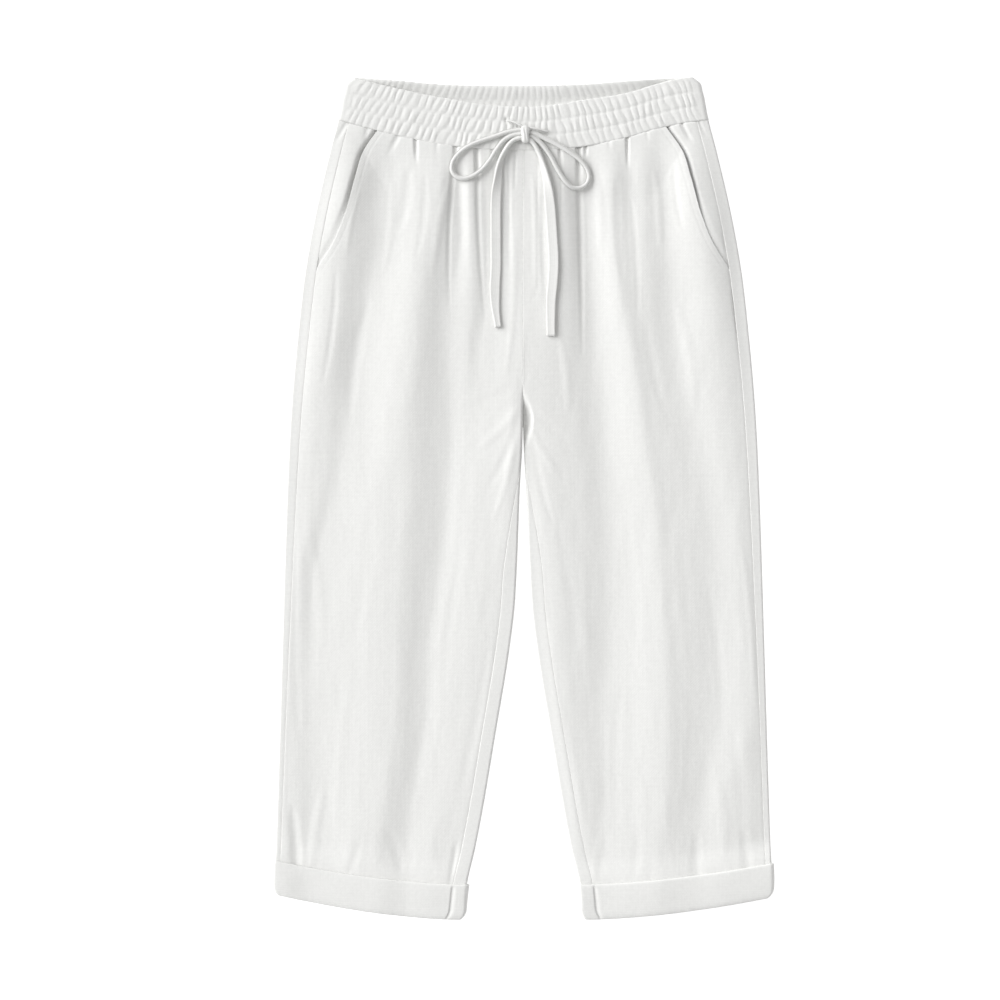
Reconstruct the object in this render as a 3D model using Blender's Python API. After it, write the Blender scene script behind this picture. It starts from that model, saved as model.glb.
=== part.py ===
"""Cropped drawstring trousers in linen with turned-up hems, laid flat on their back.

The frame: X across, Y up the garment towards the waist, Z off the table, which is at Z = 0. Left and right
are as seen from above. The tables are in millimetres, and "down" is the distance below the top of the waist.
Each half is a flattened tube. Its girth line starts at the middle of the inner edge, runs out over the top,
round the outer edge and back underneath, and each panel is the stretch of that tube between two seams.
"""

import math
from collections import namedtuple
from functools import lru_cache

import bmesh
import bpy
import numpy as np

MM = 0.001

# Driving dimensions
OUTSEAM = 825.0  # top of the waist to the hem
CLOTH = 1.2  # linen with its seam allowances
SEAM = 0.3  # between neighbouring pieces
INSEAM_SEAM = 0.75  # the same where the seam runs round the tight inner edge
EDGE = 3.2  # reach of a rolled side edge, in plan
RISE = 311.0  # where the front centre seam starts to dive between the legs
CROTCH = 352.5  # where the legs part
INSEAM_UP = 500.0  # where the inseam has come up on the top
INSEAM_INSET = 11.5  # inseam, in from the edge
CLIMB = 16.0  # above the crotch, where the back panel starts to turn up at the centre
SIDE_INSET, SIDE_INSET_LOW = 12.0, 6.0  # side seam, in from the edge, at the hip and at the hem
SIDE_RUN = 560.0  # from the pocket's end to where the seam is at its lower inset
PILE = 3.2  # top of the front panel where it rests on the back panel
ROLL = 2.2  # how much higher it stands along a rolled edge
ROLL_REACH = 30.0
WAIST_PILE, WAIST_REACH = 3.0, 75.0  # how much higher under the waistband, and how far down
HIP_PILE, HIP_ACROSS, HIP_REACH = 3.2, 178.0, 60.0  # and where the pocket's layers lie, to each side of this
HIP_DOWN, HIP_FADE = 130.0, 90.0  # down to here, and how far on it takes to level out
TURN_UP_PILE = 4.4  # both layers of a leg inside its turn-up

BAND = 42.0  # height of the waistband
BAND_TOP = 6.8  # its outer face over the table
BAND_WALL = 3.0  # elastic in its casing
BAND_FLOOR = 2.4  # inner face of its back over the table
BAND_EDGE, BAND_EDGE_INSIDE = 4.5, 0.6  # reach of its rounded sides
RIBS = 40  # gathers that the elastic draws up, across the front and again across the back
RIB_FRONT, RIB_BACK = 1.2, 0.8
RIB_AT_STITCHES = 0.35  # share of a gather's height at the two rows of stitches and at both edges

POCKET_END = 187.0  # where the slanted pocket meets the side seam
FACING_END = 174.0
FACING_REACH = 14.0  # pocket facing, in under the front panel
FACING_DROP, FACING_SLOPE = 2.0, 8.0  # how far it sinks under the pocket edge, and over what width
GAPE_SHUT, GAPE_OPEN = 0.4, 1.4  # lift of the pocket edge at its ends, and how much more halfway
GAPE_DOWN, GAPE_LENGTH, GAPE_WIDTH = 100.0, 70.0, 34.0  # its middle, and its reach along and in from the edge
GAPE_END, GAPE_FADE = 178.0, 20.0  # where it starts to close, and how far on it is closed

TURN_UP = 35.0
TURN_UP_CLOTH = 2.2  # two layers
LEG_IN_TURN_UP = 24.0  # the leg ends above the fold of the turn-up
LEG_FLATTENS = 26.0  # how far above the turn-up the leg starts to flatten
LEG_OUT_LOW, LEG_GAP_LOW = 247.2, 53.0  # the turn-up's own half width and half gap
HEM_LEFT, HEM_RIGHT = 24.5, 21.5  # how much higher each hem is at its outer end
HEM_CURVE = 1.7
CORNER_ROUNDING = 0.05  # share of its width that the turn-up draws in at its fold

Section = namedtuple("Section", "down outer gap")
SECTIONS = (  # the outline: half width outside, half gap between the legs
    Section(0.0, 166.0, 0.0),
    Section(5.0, 172.5, 0.0),
    Section(15.0, 176.2, 0.0),
    Section(38.0, 180.8, 0.0),
    Section(71.5, 189.4, 0.0),
    Section(130.0, 203.1, 0.0),
    Section(189.0, 213.9, 0.0),
    Section(248.0, 220.8, 0.0),
    Section(326.0, 227.6, 0.0),
    Section(352.5, 229.2, 0.3),
    Section(404.0, 231.5, 3.0),
    Section(482.0, 234.2, 5.9),
    Section(522.0, 235.4, 8.3),
    Section(561.0, 236.6, 13.2),
    Section(639.0, 238.9, 26.0),
    Section(757.0, 242.8, 47.0),
    Section(795.0, 244.3, 55.5),
    Section(840.0, 244.5, 56.0),
)

Waist = namedtuple("Waist", "across back front seam")
WAIST = (  # edges of the waistband: top of the back, top of the front, front seam to the panels
    Waist(-190.0, 0.0, 0.5, 39.0),
    Waist(-168.0, 0.5, 2.2, 45.5),
    Waist(-128.0, 3.3, 11.0, 56.0),
    Waist(-79.0, 7.5, 21.0, 66.0),
    Waist(-25.0, 8.8, 28.5, 71.0),
    Waist(10.0, 8.8, 29.8, 71.5),
    Waist(62.0, 7.2, 22.8, 67.5),
    Waist(104.0, 4.0, 15.8, 58.5),
    Waist(134.0, 2.0, 6.8, 50.0),
    Waist(155.0, 0.8, 2.0, 45.5),
    Waist(190.0, 0.0, 0.5, 40.5),
)

Pocket = namedtuple("Pocket", "down across")
POCKET = (  # the slanted pocket edge, out from the centre
    Pocket(35.0, 130.0),
    Pocket(52.0, 142.0),
    Pocket(72.0, 155.5),
    Pocket(97.0, 163.5),
    Pocket(136.0, 174.5),
    Pocket(165.0, 187.0),
    Pocket(187.0, 201.5),
)

# The folds: ridge and valley lines that run down each half, from its outer edge to its inner one on the left and
# back out on the right, with their distance from the centre and their height at each of these levels
LEVELS = (81, 120, 160, 218, 277, 336, 394, 473, 551, 630, 708, 752)
Line = namedtuple("Line", "name across lift")
LEFT_LINES = (
    Line("outer edge", (-190, -200, -209, -217, -224, -228, -231, -234, -236, -240, -242, -243),
         (1.8, 2.2, 2.4, 2.1, 2.1, 1.9, 1.8, 1.9, 1.8, 2.0, 2.0, 1.8)),
    Line("outer ridge", (-169, -172, -175, -180, -190, -192, -197, -218, -226, -230, -232, -232),
         (2.4, 3.6, 4.0, 4.0, 4.1, 2.7, 1.8, 2.0, 1.8, 2.0, 2.0, 1.8)),
    Line("outer valley", (-136, -142, -142, -152, -162, -168, -179, -201, -207, -207, -205, -210),
         (1.9, 1.6, 1.4, 1.1, 1.1, 1.4, 1.4, 0.9, 0.6, 0.6, 0.4, 0.0)),
    Line("main ridge", (-81, -83, -93, -103, -109, -116, -118, -122, -125, -127, -138, -146),
         (5.0, 5.9, 6.2, 6.1, 6.3, 5.9, 5.9, 5.7, 5.2, 4.8, 4.4, 3.6)),
    Line("main valley", (-62, -63, -62, -71, -75, -73, -75, -83, -93, -97, -109, -116),
         (1.4, 1.4, 1.6, 2.3, 2.3, 1.9, 2.1, 2.2, 2.2, 2.3, 1.9, 1.5)),
    Line("pleat ridge", (-53, -52, -51, -50, -55, -56, -60, -67, -76, -81, -94, -104),
         (3.6, 4.0, 3.8, 3.3, 2.9, 2.8, 3.1, 3.3, 3.4, 3.3, 2.7, 2.2)),
    Line("pleat valley", (-41, -35, -33, -34, -42, -40, -44, -50, -60, -67, -78, -89),
         (1.6, 1.4, 1.6, 1.8, 2.7, 3.6, 4.4, 4.6, 4.3, 4.0, 3.5, 3.0)),
    Line("inner ridge", (-15, -13, -9, -5, -5, -12, -16, -26, -39, -50, -63, -72),
         (2.2, 2.6, 3.2, 3.7, 4.7, 5.0, 5.4, 5.3, 4.6, 4.2, 3.6, 2.8)),
    Line("inner edge", (0, 0, 0, 0, 0, -0.5, -2.5, -5.5, -12, -24, -38, -46),
         (2.4, 2.8, 3.4, 3.9, 4.7, 4.5, 4.3, 3.9, 3.2, 2.8, 2.4, 1.8)),
)
RIGHT_LINES = (
    Line("inner edge", (0, 0, 0, 0, 0, 0.5, 2.5, 5.5, 12, 24, 38, 46),
         (2.4, 2.8, 3.4, 3.9, 4.7, 4.5, 4.3, 3.9, 3.2, 2.8, 2.4, 1.8)),
    Line("inner ridge", (12, 7, 7, 8, 4, 8, 15, 25, 32, 37, 49, 54),
         (2.3, 2.9, 3.4, 3.9, 4.6, 4.9, 4.9, 4.5, 4.0, 3.6, 3.0, 2.2)),
    Line("pleat ridge", (36, 40, 42, 43, 43, 48, 54, 59, 61, 60, 65, 66),
         (4.2, 4.5, 4.5, 4.2, 3.4, 3.3, 3.5, 3.1, 2.6, 2.4, 2.2, 1.6)),
    Line("deep valley", (59, 61, 63, 67, 72, 78, 83, 87, 86, 81, 82, 77),
         (0.2, -0.2, -0.2, 0.2, 0.4, 0.7, 1.1, 1.1, 1.0, 1.2, 1.2, 1.0)),
    Line("main ridge", (85, 87, 89, 95, 106, 114, 124, 132, 136, 138, 134, 129),
         (4.0, 4.5, 4.7, 5.0, 5.0, 4.8, 5.0, 4.8, 4.7, 4.8, 4.4, 3.8)),
    Line("tuck valley", (103, 103, 105, 109, 119, 128, 138, 146, 150, 154, 150, 144),
         (2.2, 3.1, 3.6, 4.1, 4.3, 4.2, 4.3, 4.2, 4.1, 4.0, 3.6, 3.2)),
    Line("tuck ridge", (117, 119, 120, 124, 132, 141, 152, 160, 163, 166, 162, 158),
         (3.5, 4.0, 4.0, 3.7, 3.3, 3.3, 3.4, 3.4, 3.3, 2.9, 2.2, 2.2)),
    Line("outer valley", (137, 140, 142, 147, 152, 163, 175, 186, 191, 189, 175, 173),
         (2.2, 2.4, 2.3, 2.1, 2.1, 2.1, 2.2, 2.0, 1.8, 1.6, 1.3, 1.4)),
    Line("outer ridge", (159, 167, 175, 182, 188, 193, 203, 214, 220, 224, 197, 197),
         (3.2, 4.8, 5.6, 5.5, 4.9, 3.9, 3.3, 3.0, 3.0, 3.0, 2.2, 2.0)),
    Line("outer edge", (190, 200, 209, 217, 224, 228, 231, 234, 236, 240, 242, 243),
         (1.9, 2.4, 2.8, 2.7, 2.9, 3.0, 3.0, 2.7, 2.8, 2.5, 1.2, 0.2)),
)
BACK_FOLLOWS, BACK_STAYS = 0.3, 3.2  # share of a fold's height over this much by which the back rises with it
BACK_FREE = 60.0  # the back panel lies flat down to here, and over as much again comes free to rise
HELD, RELEASE = 0.35, 45.0  # share of a fold's height at the waist seam, and where all of it has come free
IN_TURN_UP = 0.45  # the same share inside the turn-up

Tuck = namedtuple("Tuck", "across length width depth lean")
TUCKS = (  # pinched in by the elastic just under the waist seam
    Tuck(-122.0, 16.0, 10.0, 1.0, -0.2),
    Tuck(-105.0, 28.0, 11.0, 2.2, 0.0),
    Tuck(-66.0, 22.0, 11.0, 2.0, -0.1),
    Tuck(-45.0, 34.0, 11.0, 2.2, 0.1),
    Tuck(61.0, 40.0, 11.0, 2.4, 0.0),
    Tuck(102.0, 32.0, 11.0, 2.3, 0.0),
)

TAPE, TAPE_THICK = 10.2, 2.0  # the drawstring, lying flat at its free ends
LOOP_TAPE, LOOP_THICK = 4.6, 3.4  # rolled up, and standing on edge, in the loops
STRAND = 2.4  # bunched where it comes out of the casing
KNOT = (7.1, 17.6, 8.0)  # across, down the garment and off the cloth
KNOT_AT = (2.25, 57.0, 12.3)
KNOT_BLOCK = 0.75  # power that squares a ball's sides off

Route = namedtuple("Route", "x down z tilt")  # tilt in degrees, 0 with the tape on edge and 90 with it flat
LOOP_LEFT = (
    Route(-1.6, 52.0, 10.7, 0),
    Route(-16.0, 54.7, 10.7, 0),
    Route(-29.1, 59.2, 10.7, 0),
    Route(-43.2, 63.8, 10.7, 0),
    Route(-55.1, 69.3, 10.7, 0),
    Route(-63.8, 76.4, 10.3, 0),
    Route(-69.3, 85.1, 10.4, 0),
    Route(-69.8, 91.6, 10.6, 0),
    Route(-66.0, 97.6, 10.5, 0),
    Route(-59.5, 99.8, 10.6, 0),
    Route(-49.7, 97.6, 11.0, 0),
    Route(-42.1, 92.7, 10.7, 0),
    Route(-33.4, 82.9, 10.5, 0),
    Route(-25.7, 70.9, 10.7, 0),
    Route(-19.3, 63.0, 10.7, 0),
    Route(-10.6, 57.8, 10.7, 0),
    Route(-1.6, 56.2, 10.7, 0),
)
LOOP_RIGHT = (
    Route(6.5, 54.6, 10.7, 0),
    Route(12.3, 56.4, 10.7, 0),
    Route(19.9, 60.1, 10.7, 0),
    Route(28.6, 64.4, 10.7, 0),
    Route(38.4, 69.8, 10.7, 0),
    Route(47.1, 75.3, 10.6, 0),
    Route(55.8, 81.8, 9.9, 0),
    Route(62.4, 90.5, 8.9, 0),
    Route(64.5, 98.1, 8.6, 0),
    Route(61.3, 105.7, 8.7, 0),
    Route(54.7, 109.0, 9.1, 0),
    Route(48.2, 108.5, 10.2, 0),
    Route(41.7, 103.6, 11.5, 0),
    Route(36.2, 95.9, 11.5, 0),
    Route(31.9, 88.3, 11.1, 0),
    Route(27.5, 79.6, 10.8, 0),
    Route(22.1, 71.4, 10.7, 0),
    Route(17.0, 65.2, 10.7, 0),
    Route(11.5, 60.6, 10.7, 0),
    Route(6.5, 58.4, 10.7, 0),
)
END_LEFT = (
    Route(-1.6, 60.4, 13.5, 5),
    Route(-8.5, 62.4, 13.5, 10),
    Route(-14.0, 67.5, 13.4, 18),
    Route(-17.0, 72.3, 13.2, 25),
    Route(-20.0, 78.0, 12.0, 32),
    Route(-23.1, 88.0, 11.1, 47),
    Route(-24.6, 101.0, 9.9, 67),
    Route(-26.2, 115.5, 8.3, 84),
    Route(-26.6, 130.0, 7.1, 90),
    Route(-26.6, 160.0, 6.7, 90),
    Route(-26.6, 189.0, 6.7, 90),
    Route(-27.5, 206.0, 6.8, 90),
    Route(-26.8, 226.0, 7.1, 90),
    Route(-24.2, 245.2, 7.8, 90),
)
END_RIGHT = (
    Route(6.1, 62.0, 13.5, -5),
    Route(10.0, 65.6, 13.5, -12),
    Route(13.4, 70.9, 13.4, -20),
    Route(16.0, 76.5, 12.8, -28),
    Route(18.9, 84.5, 12.4, -38),
    Route(22.1, 97.0, 12.4, -54),
    Route(24.6, 110.5, 11.6, -72),
    Route(26.2, 124.0, 10.6, -80),
    Route(28.4, 152.7, 9.8, -82),
    Route(29.9, 186.0, 9.8, -82),
    Route(28.9, 201.7, 9.8, -82),
    Route(27.4, 218.3, 9.6, -83),
    Route(27.2, 236.0, 9.5, -83),
    Route(27.4, 253.6, 9.4, -83),
)
EXIT_LEFT = (
    Route(-16.6, 43.5, 9.6, 0),
    Route(-11.5, 44.3, 10.4, 0),
    Route(-6.5, 46.2, 11.2, 0),
    Route(-1.2, 48.7, 11.6, 0),
)
EXIT_RIGHT = (
    Route(24.5, 54.2, 9.6, 0),
    Route(18.5, 52.9, 10.4, 0),
    Route(12.5, 51.6, 11.2, 0),
    Route(6.1, 50.9, 11.6, 0),
)

# The meshes: how far apart their rows and columns lie
ROWS_UNDER_WAIST = (0.0, 7.0, 16.0, 28.0, 44.0, 64.0)
ROWS_BETWEEN = (
    150.0, 190.0, 235.0, 280.0, 311.0, 328.0, 342.0, 354.0, 368.0, 392.0, 430.0, 485.0, 550.0, 615.0, 675.0,
)
ROWS_OVER_HEM = (60.0, 48.0, 36.0, 24.0, 11.0, 0.0)
LEG_ROWS = len(ROWS_UNDER_WAIST) + len(ROWS_BETWEEN) + len(ROWS_OVER_HEM)
FACING_ROWS, FACING_COLUMNS = 8, 8
FRONT_BY_INSEAM = (0.0, 1.5, 3.0, 5.0, 7.5, 10.5, 15.0)
FRONT_BY_POCKET, FRONT_COLUMNS = 4.0, 17
SEAM_COLUMN = 1.5

LINEN = (0.87, 0.87, 0.85, 1.0)
SHARP = 50.0  # degrees between faces
TOP_POINTS, UNDER_POINTS, QUARTER_POINTS = 70, 50, 11
LOOP_STEP, END_STEP, EXIT_STEP = 9.0, 13.0, 5.0  # between the drawstring's sections


def ease(t):
    t = np.clip(t, 0.0, 1.0)
    return t * t * (3 - 2 * t)


def bump(t):
    return 0.5 * (1 + np.cos(math.pi * np.clip(t, -1.0, 1.0)))


def through(keys, values, at):
    """A smooth line through values at these keys, read at any place between them."""
    keys, values = np.array(keys, float), np.array(values, float)
    slopes = np.gradient(values, keys)
    at = np.clip(at, keys[0], keys[-1])
    i = np.clip(np.searchsorted(keys, at) - 1, 0, len(keys) - 2)
    step = keys[i + 1] - keys[i]
    t = (at - keys[i]) / step
    return (
        values[i] * (1 + 2 * t) * (1 - t) ** 2
        + slopes[i] * step * t * (1 - t) ** 2
        + values[i + 1] * t * t * (3 - 2 * t)
        + slopes[i + 1] * step * t * t * (t - 1)
    )


def column(table, name, at, key="down"):
    """A column of a table at any place between its rows."""
    return through(*([getattr(row, field) for row in table] for field in (key, name)), at)


def outer_edge(down):
    return column(SECTIONS, "outer", down)


def inner_edge(down):
    return np.maximum(column(SECTIONS, "gap", down), 0.0) + SEAM / 2


def seam_down(x, under=0.0):
    """The waist seam, from the front, 0, round the side to underneath, 1."""
    seam = column(WAIST, "seam", x, "across")
    return seam + (column(WAIST, "back", x, "across") + BAND - seam) * under


def hem_down(x):
    """The bottom edge of a leg, lower towards the inside."""
    outward = np.clip((abs(x) - LEG_GAP_LOW) / (LEG_OUT_LOW - LEG_GAP_LOW), 0.0, 1.0)
    return OUTSEAM - np.where(x < 0, HEM_LEFT, HEM_RIGHT) * outward**HEM_CURVE


def in_turn_up(x, down):
    """0 on the open leg, 1 where it is inside the turn-up."""
    return ease((down - (hem_down(x) - TURN_UP - LEG_FLATTENS)) / LEG_FLATTENS)


def across_lines(places, heights, x):
    """A smooth line through these heights at these places, which differ from point to point."""
    slopes = np.zeros_like(heights)
    slopes[1:-1] = (heights[2:] - heights[:-2]) / (places[2:] - places[:-2])
    x = np.clip(x, places[0], places[-1])
    i = np.clip(np.sum(x >= places, axis=0) - 1, 0, len(places) - 2)[None]
    (x0, x1), (z0, z1), (slope0, slope1) = (
        [np.take_along_axis(values, j, axis=0)[0] for j in (i, i + 1)] for values in (places, heights, slopes)
    )
    step = x1 - x0
    t = (x - x0) / step
    return (
        z0 * (1 + 2 * t) * (1 - t) ** 2
        + slope0 * step * t * (1 - t) ** 2
        + z1 * t * t * (3 - 2 * t)
        + slope1 * step * t * t * (t - 1)
    )


def fold_lift(x, down):
    x, down = np.broadcast_arrays(np.asarray(x, float), np.asarray(down, float))
    halves = []
    for lines in (LEFT_LINES, RIGHT_LINES):
        places, heights = (
            np.array([through(LEVELS, getattr(line, field), down) for line in lines])
            for field in ("across", "lift")
        )
        halves.append(across_lines(places, heights, x))
    return np.where(x < 0, *halves)


def tuck_dip(x, down):
    below = down - seam_down(x)
    dip = 0.0
    for tuck in TUCKS:
        away = (x - tuck.across - tuck.lean * below) / (tuck.width / 2)
        dip = dip + tuck.depth * bump(away) * (1 - ease(below / tuck.length))
    return dip


def bottom_height(x, down):
    """Outer face of the back panels: on the table, except where a large fold or the turn-up lifts it."""
    lifted = BACK_FOLLOWS * np.maximum(fold_lift(x, down) - BACK_STAYS, 0.0) * ease((down - BACK_FREE) / BACK_FREE)
    inside = in_turn_up(x, down)
    return lifted * (1 - inside) + inside * (TURN_UP_CLOTH + SEAM)


def top_height(x, down):
    """Outer face of the front panels, and of the pocket facings beside them."""
    below = down - seam_down(x)
    edge = ROLL * bump((outer_edge(down) - abs(x)) / ROLL_REACH)
    parted = ease((down - RISE) / (CROTCH - RISE))
    between = ROLL * parted * bump((abs(x) - inner_edge(down)) / ROLL_REACH)
    waist = WAIST_PILE * (1 - ease(below / WAIST_REACH))
    hip = HIP_PILE * bump((abs(x) - HIP_ACROSS) / HIP_REACH) * (1 - ease((down - HIP_DOWN) / HIP_FADE))
    pile = PILE + np.maximum(np.maximum(edge, between), np.maximum(waist, hip))
    released = HELD + (1 - HELD) * ease(below / RELEASE)
    open_leg = pile + released * fold_lift(x, down) - tuck_dip(x, down)
    closed = TURN_UP_CLOTH + SEAM + TURN_UP_PILE + IN_TURN_UP * fold_lift(x, down)
    inside = in_turn_up(x, down)
    return open_leg * (1 - inside) + closed * inside


def pocket_in(x, down):
    """How far a place lies inside the slanted pocket edge, towards the centre."""
    return column(POCKET, "across", down) - abs(x)


def pocket_gape(x, down):
    """The front panel's lift along the pocket edge."""
    open_edge = GAPE_SHUT + GAPE_OPEN * bump((down - GAPE_DOWN) / GAPE_LENGTH)
    return open_edge * (1 - ease(pocket_in(x, down) / GAPE_WIDTH)) * (1 - ease((down - GAPE_END) / GAPE_FADE))


def quarter(x0, z0, x1, z1):
    """A quarter ellipse that leaves (x0, z0) level and meets (x1, z1) upright."""
    turn = np.linspace(0.0, math.pi / 2, QUARTER_POINTS)
    return x0 + (x1 - x0) * np.sin(turn), z0 + (z1 - z0) * (1 - np.cos(turn))


Girth = namedtuple("Girth", "x z length inner outer under heel")


@lru_cache(maxsize=None)
def girth_at(side, down):
    """The line round one half at this depth.

    It comes with the lengths at which the inner edge has rolled over on to the top, the outer edge starts to
    roll and has rolled underneath, and the inner edge starts to roll up again.
    """
    gap, outer = inner_edge(down), outer_edge(down)
    over = np.linspace(gap + EDGE, outer - EDGE, TOP_POINTS)
    under = np.linspace(outer - EDGE, gap + EDGE, UNDER_POINTS)
    top, bottom = top_height(side * over, down), bottom_height(side * under, down)
    middle = (top[0] + bottom[-1]) / 2
    dive = ease((down - RISE) / (CROTCH - RISE))
    climb = ease((down - CROTCH + CLIMB) / CLIMB)
    pieces = (
        [line[::-1] for line in quarter(over[0], top[0], gap, top[0] + (middle - top[0]) * dive)],
        [over[1:], top[1:]],
        [line[1:] for line in quarter(over[-1], top[-1], outer, (top[-1] + bottom[0]) / 2)],
        [line[-2::-1] for line in quarter(under[0], bottom[0], outer, (top[-1] + bottom[0]) / 2)],
        [under[1:], bottom[1:]],
        [line[1:] for line in quarter(under[-1], bottom[-1], gap, bottom[-1] + (middle - bottom[-1]) * climb)],
    )
    x, z = (np.concatenate([piece[i] for piece in pieces]) for i in (0, 1))
    length = np.concatenate([[0.0], np.cumsum(np.hypot(np.diff(x), np.diff(z)))])
    q = QUARTER_POINTS - 1
    ends = np.cumsum([q, TOP_POINTS - 1, 2 * q, UNDER_POINTS - 1])
    return Girth(x, z, length, *length[ends])


def girth(side, down):
    return girth_at(side, round(4 * float(down)) / 4)


def at_length(line, length):
    """A point of a girth line. Past its end the line goes on round the leg."""
    length = length % line.length[-1]
    return np.interp(length, line.length, line.x), np.interp(length, line.length, line.z)


def outwards(line, length):
    """The direction square to a girth line, away from the inside of the tube."""
    ahead, behind = at_length(line, length + 0.3), at_length(line, length - 0.3)
    along = np.array(ahead) - np.array(behind)
    along /= np.linalg.norm(along)
    return -along[1], along[0]


def at_across(line, across):
    """The length at which the top of a girth line is this far out."""
    top = slice(QUARTER_POINTS - 1, QUARTER_POINTS + TOP_POINTS)
    return np.interp(across, line.x[top], line.length[top])


def inseam(line, down):
    return (line.inner + INSEAM_INSET) * ease((down - CROTCH) / (INSEAM_UP - CROTCH))


def side_seam(line, down):
    inset = SIDE_INSET + (SIDE_INSET_LOW - SIDE_INSET) * ease((down - POCKET_END) / SIDE_RUN)
    return at_across(line, outer_edge(down) - inset)


def linen(name):
    material = bpy.data.materials.new(name)
    material.use_nodes = True
    shader = material.node_tree.nodes["Principled BSDF"]
    shader.inputs["Base Color"].default_value = LINEN
    shader.inputs["Roughness"].default_value = 0.9
    shader.inputs["Metallic"].default_value = 0.0
    return material


def world(x, down, z):
    return x * MM, (OUTSEAM / 2 - down) * MM, z * MM


def add_body(name, points, faces):
    """A closed mesh in its own linen, faces outwards."""
    mesh = bpy.data.meshes.new(name)
    mesh.from_pydata([world(*point) for point in points], [], faces)
    shape = bmesh.new()
    shape.from_mesh(mesh)
    bmesh.ops.recalc_face_normals(shape, faces=shape.faces)
    shape.to_mesh(mesh)
    shape.free()
    mesh.shade_smooth()
    mesh.set_sharp_from_angle(angle=math.radians(SHARP))
    mesh.materials.append(linen(name))
    body = bpy.data.objects.new(name, mesh)
    bpy.context.scene.collection.objects.link(body)
    return body


def wall(name, outer, inner, columns):
    """A closed wall between two grids of points, given row by row."""
    rows, total = len(outer) // columns, len(outer)
    faces = []
    for i in range(rows - 1):
        for j in range(columns - 1):
            face = (i * columns + j, i * columns + j + 1, (i + 1) * columns + j + 1, (i + 1) * columns + j)
            faces += [face, [corner + total for corner in reversed(face)]]
    rim = [j for j in range(columns)]
    rim += [i * columns + columns - 1 for i in range(1, rows)]
    rim += [total - 2 - j for j in range(columns - 1)]
    rim += [i * columns for i in range(rows - 2, 0, -1)]
    for here, following in zip(rim, rim[1:] + rim[:1]):
        faces.append((following, here, here + total, following + total))
    return add_body(name, outer + inner, faces)


def depth(row, top, bottom):
    """Rows lie close together under the waist seam, at the crotch and above the turn-up."""
    under, over = len(ROWS_UNDER_WAIST), len(ROWS_OVER_HEM)
    if row < under:
        return top + ROWS_UNDER_WAIST[row]
    if row < under + len(ROWS_BETWEEN):
        return ROWS_BETWEEN[row - under]
    return bottom - ROWS_OVER_HEM[row - under - len(ROWS_BETWEEN)]


def sheet(name, side, rows, lengths, point):
    """A cloth wall through rows of places along the girth lines. lengths(line, down) gives a row's places."""
    outer, inner = [], []
    columns = len(lengths(girth(side, RISE), RISE))
    for i in range(rows):
        for j in range(columns):
            down = OUTSEAM * i / rows
            for _ in range(4):
                line = girth(side, down)
                length = lengths(line, down)[j]
                x, z = at_length(line, length)
                under = np.clip((length - line.outer) / (line.under - line.outer), 0.0, 1.0)
                down, lift = point(i, side * x, down, under)
            out_x, out_z = outwards(line, length)
            outer.append((side * x, down, z + lift))
            inner.append((side * (x - CLOTH * out_x), down, z + lift - CLOTH * out_z))
    return wall(name, outer, inner, columns)


def leg_end(x):
    return hem_down(x) - TURN_UP + LEG_IN_TURN_UP


def front_lengths(line, down):
    """From the centre front, and the inseam below it, to the pocket edge, and the side seam below it."""
    start, stop = inseam(line, down) + INSEAM_SEAM / 2, side_seam(line, down) - SEAM / 2
    if down < POCKET_END:
        stop = min(stop, at_across(line, column(POCKET, "across", down)))
    between = np.linspace(start + FRONT_BY_INSEAM[-1], stop - FRONT_BY_POCKET, FRONT_COLUMNS)
    return np.concatenate([start + np.array(FRONT_BY_INSEAM[:-1]), between, [stop - SEAM_COLUMN, stop]])


def front(side, name):
    def point(row, x, down, under):
        return depth(row, seam_down(x) + SEAM, leg_end(x)), pocket_gape(x, down)

    return sheet(name, side, LEG_ROWS, front_lengths, point)


def back_lengths(line, down):
    """From the side seam round the outer edge and underneath to the centre back, and the inseam below it."""
    start = side_seam(line, down) + SEAM / 2
    stop = line.length[-1] + inseam(line, down) - INSEAM_SEAM / 2
    return np.concatenate(
        [[start, start + SEAM_COLUMN], np.linspace(line.outer, line.under, 5),
         np.linspace(line.under, line.heel, 6)[1:-1], np.linspace(line.heel, stop - SEAM_COLUMN, 6), [stop]]
    )


def back(side, name):
    def point(row, x, down, under):
        return depth(row, seam_down(x, under) + SEAM, leg_end(x)), 0.0

    return sheet(name, side, LEG_ROWS, back_lengths, point)


def facing_lengths(line, down):
    start = at_across(line, column(POCKET, "across", down) - FACING_REACH)
    stop = side_seam(line, down) - SEAM / 2
    return np.concatenate([np.linspace(start, stop - SEAM_COLUMN, FACING_COLUMNS), [stop]])


def pocket_facing(side, name):
    """Lies level with the side seam and sinks in under the front panel."""

    def point(row, x, down, under):
        top = seam_down(x) + SEAM
        sunk = FACING_DROP * ease((pocket_in(x, down) + FACING_SLOPE) / FACING_SLOPE)
        return top + (FACING_END - top) * row / (FACING_ROWS - 1), -sunk

    return sheet(name, side, FACING_ROWS, facing_lengths, point)


def ring(name, loops):
    """A closed body whose section is a loop of points carried all the way round the garment."""
    around = len(loops[0])
    faces = []
    for i in range(len(loops)):
        below = (i + 1) % len(loops)
        for j in range(around):
            right = (j + 1) % around
            faces.append((i * around + j, i * around + right, below * around + right, below * around + j))
    return add_body(name, [point for loop in loops for point in loop], faces)


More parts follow.
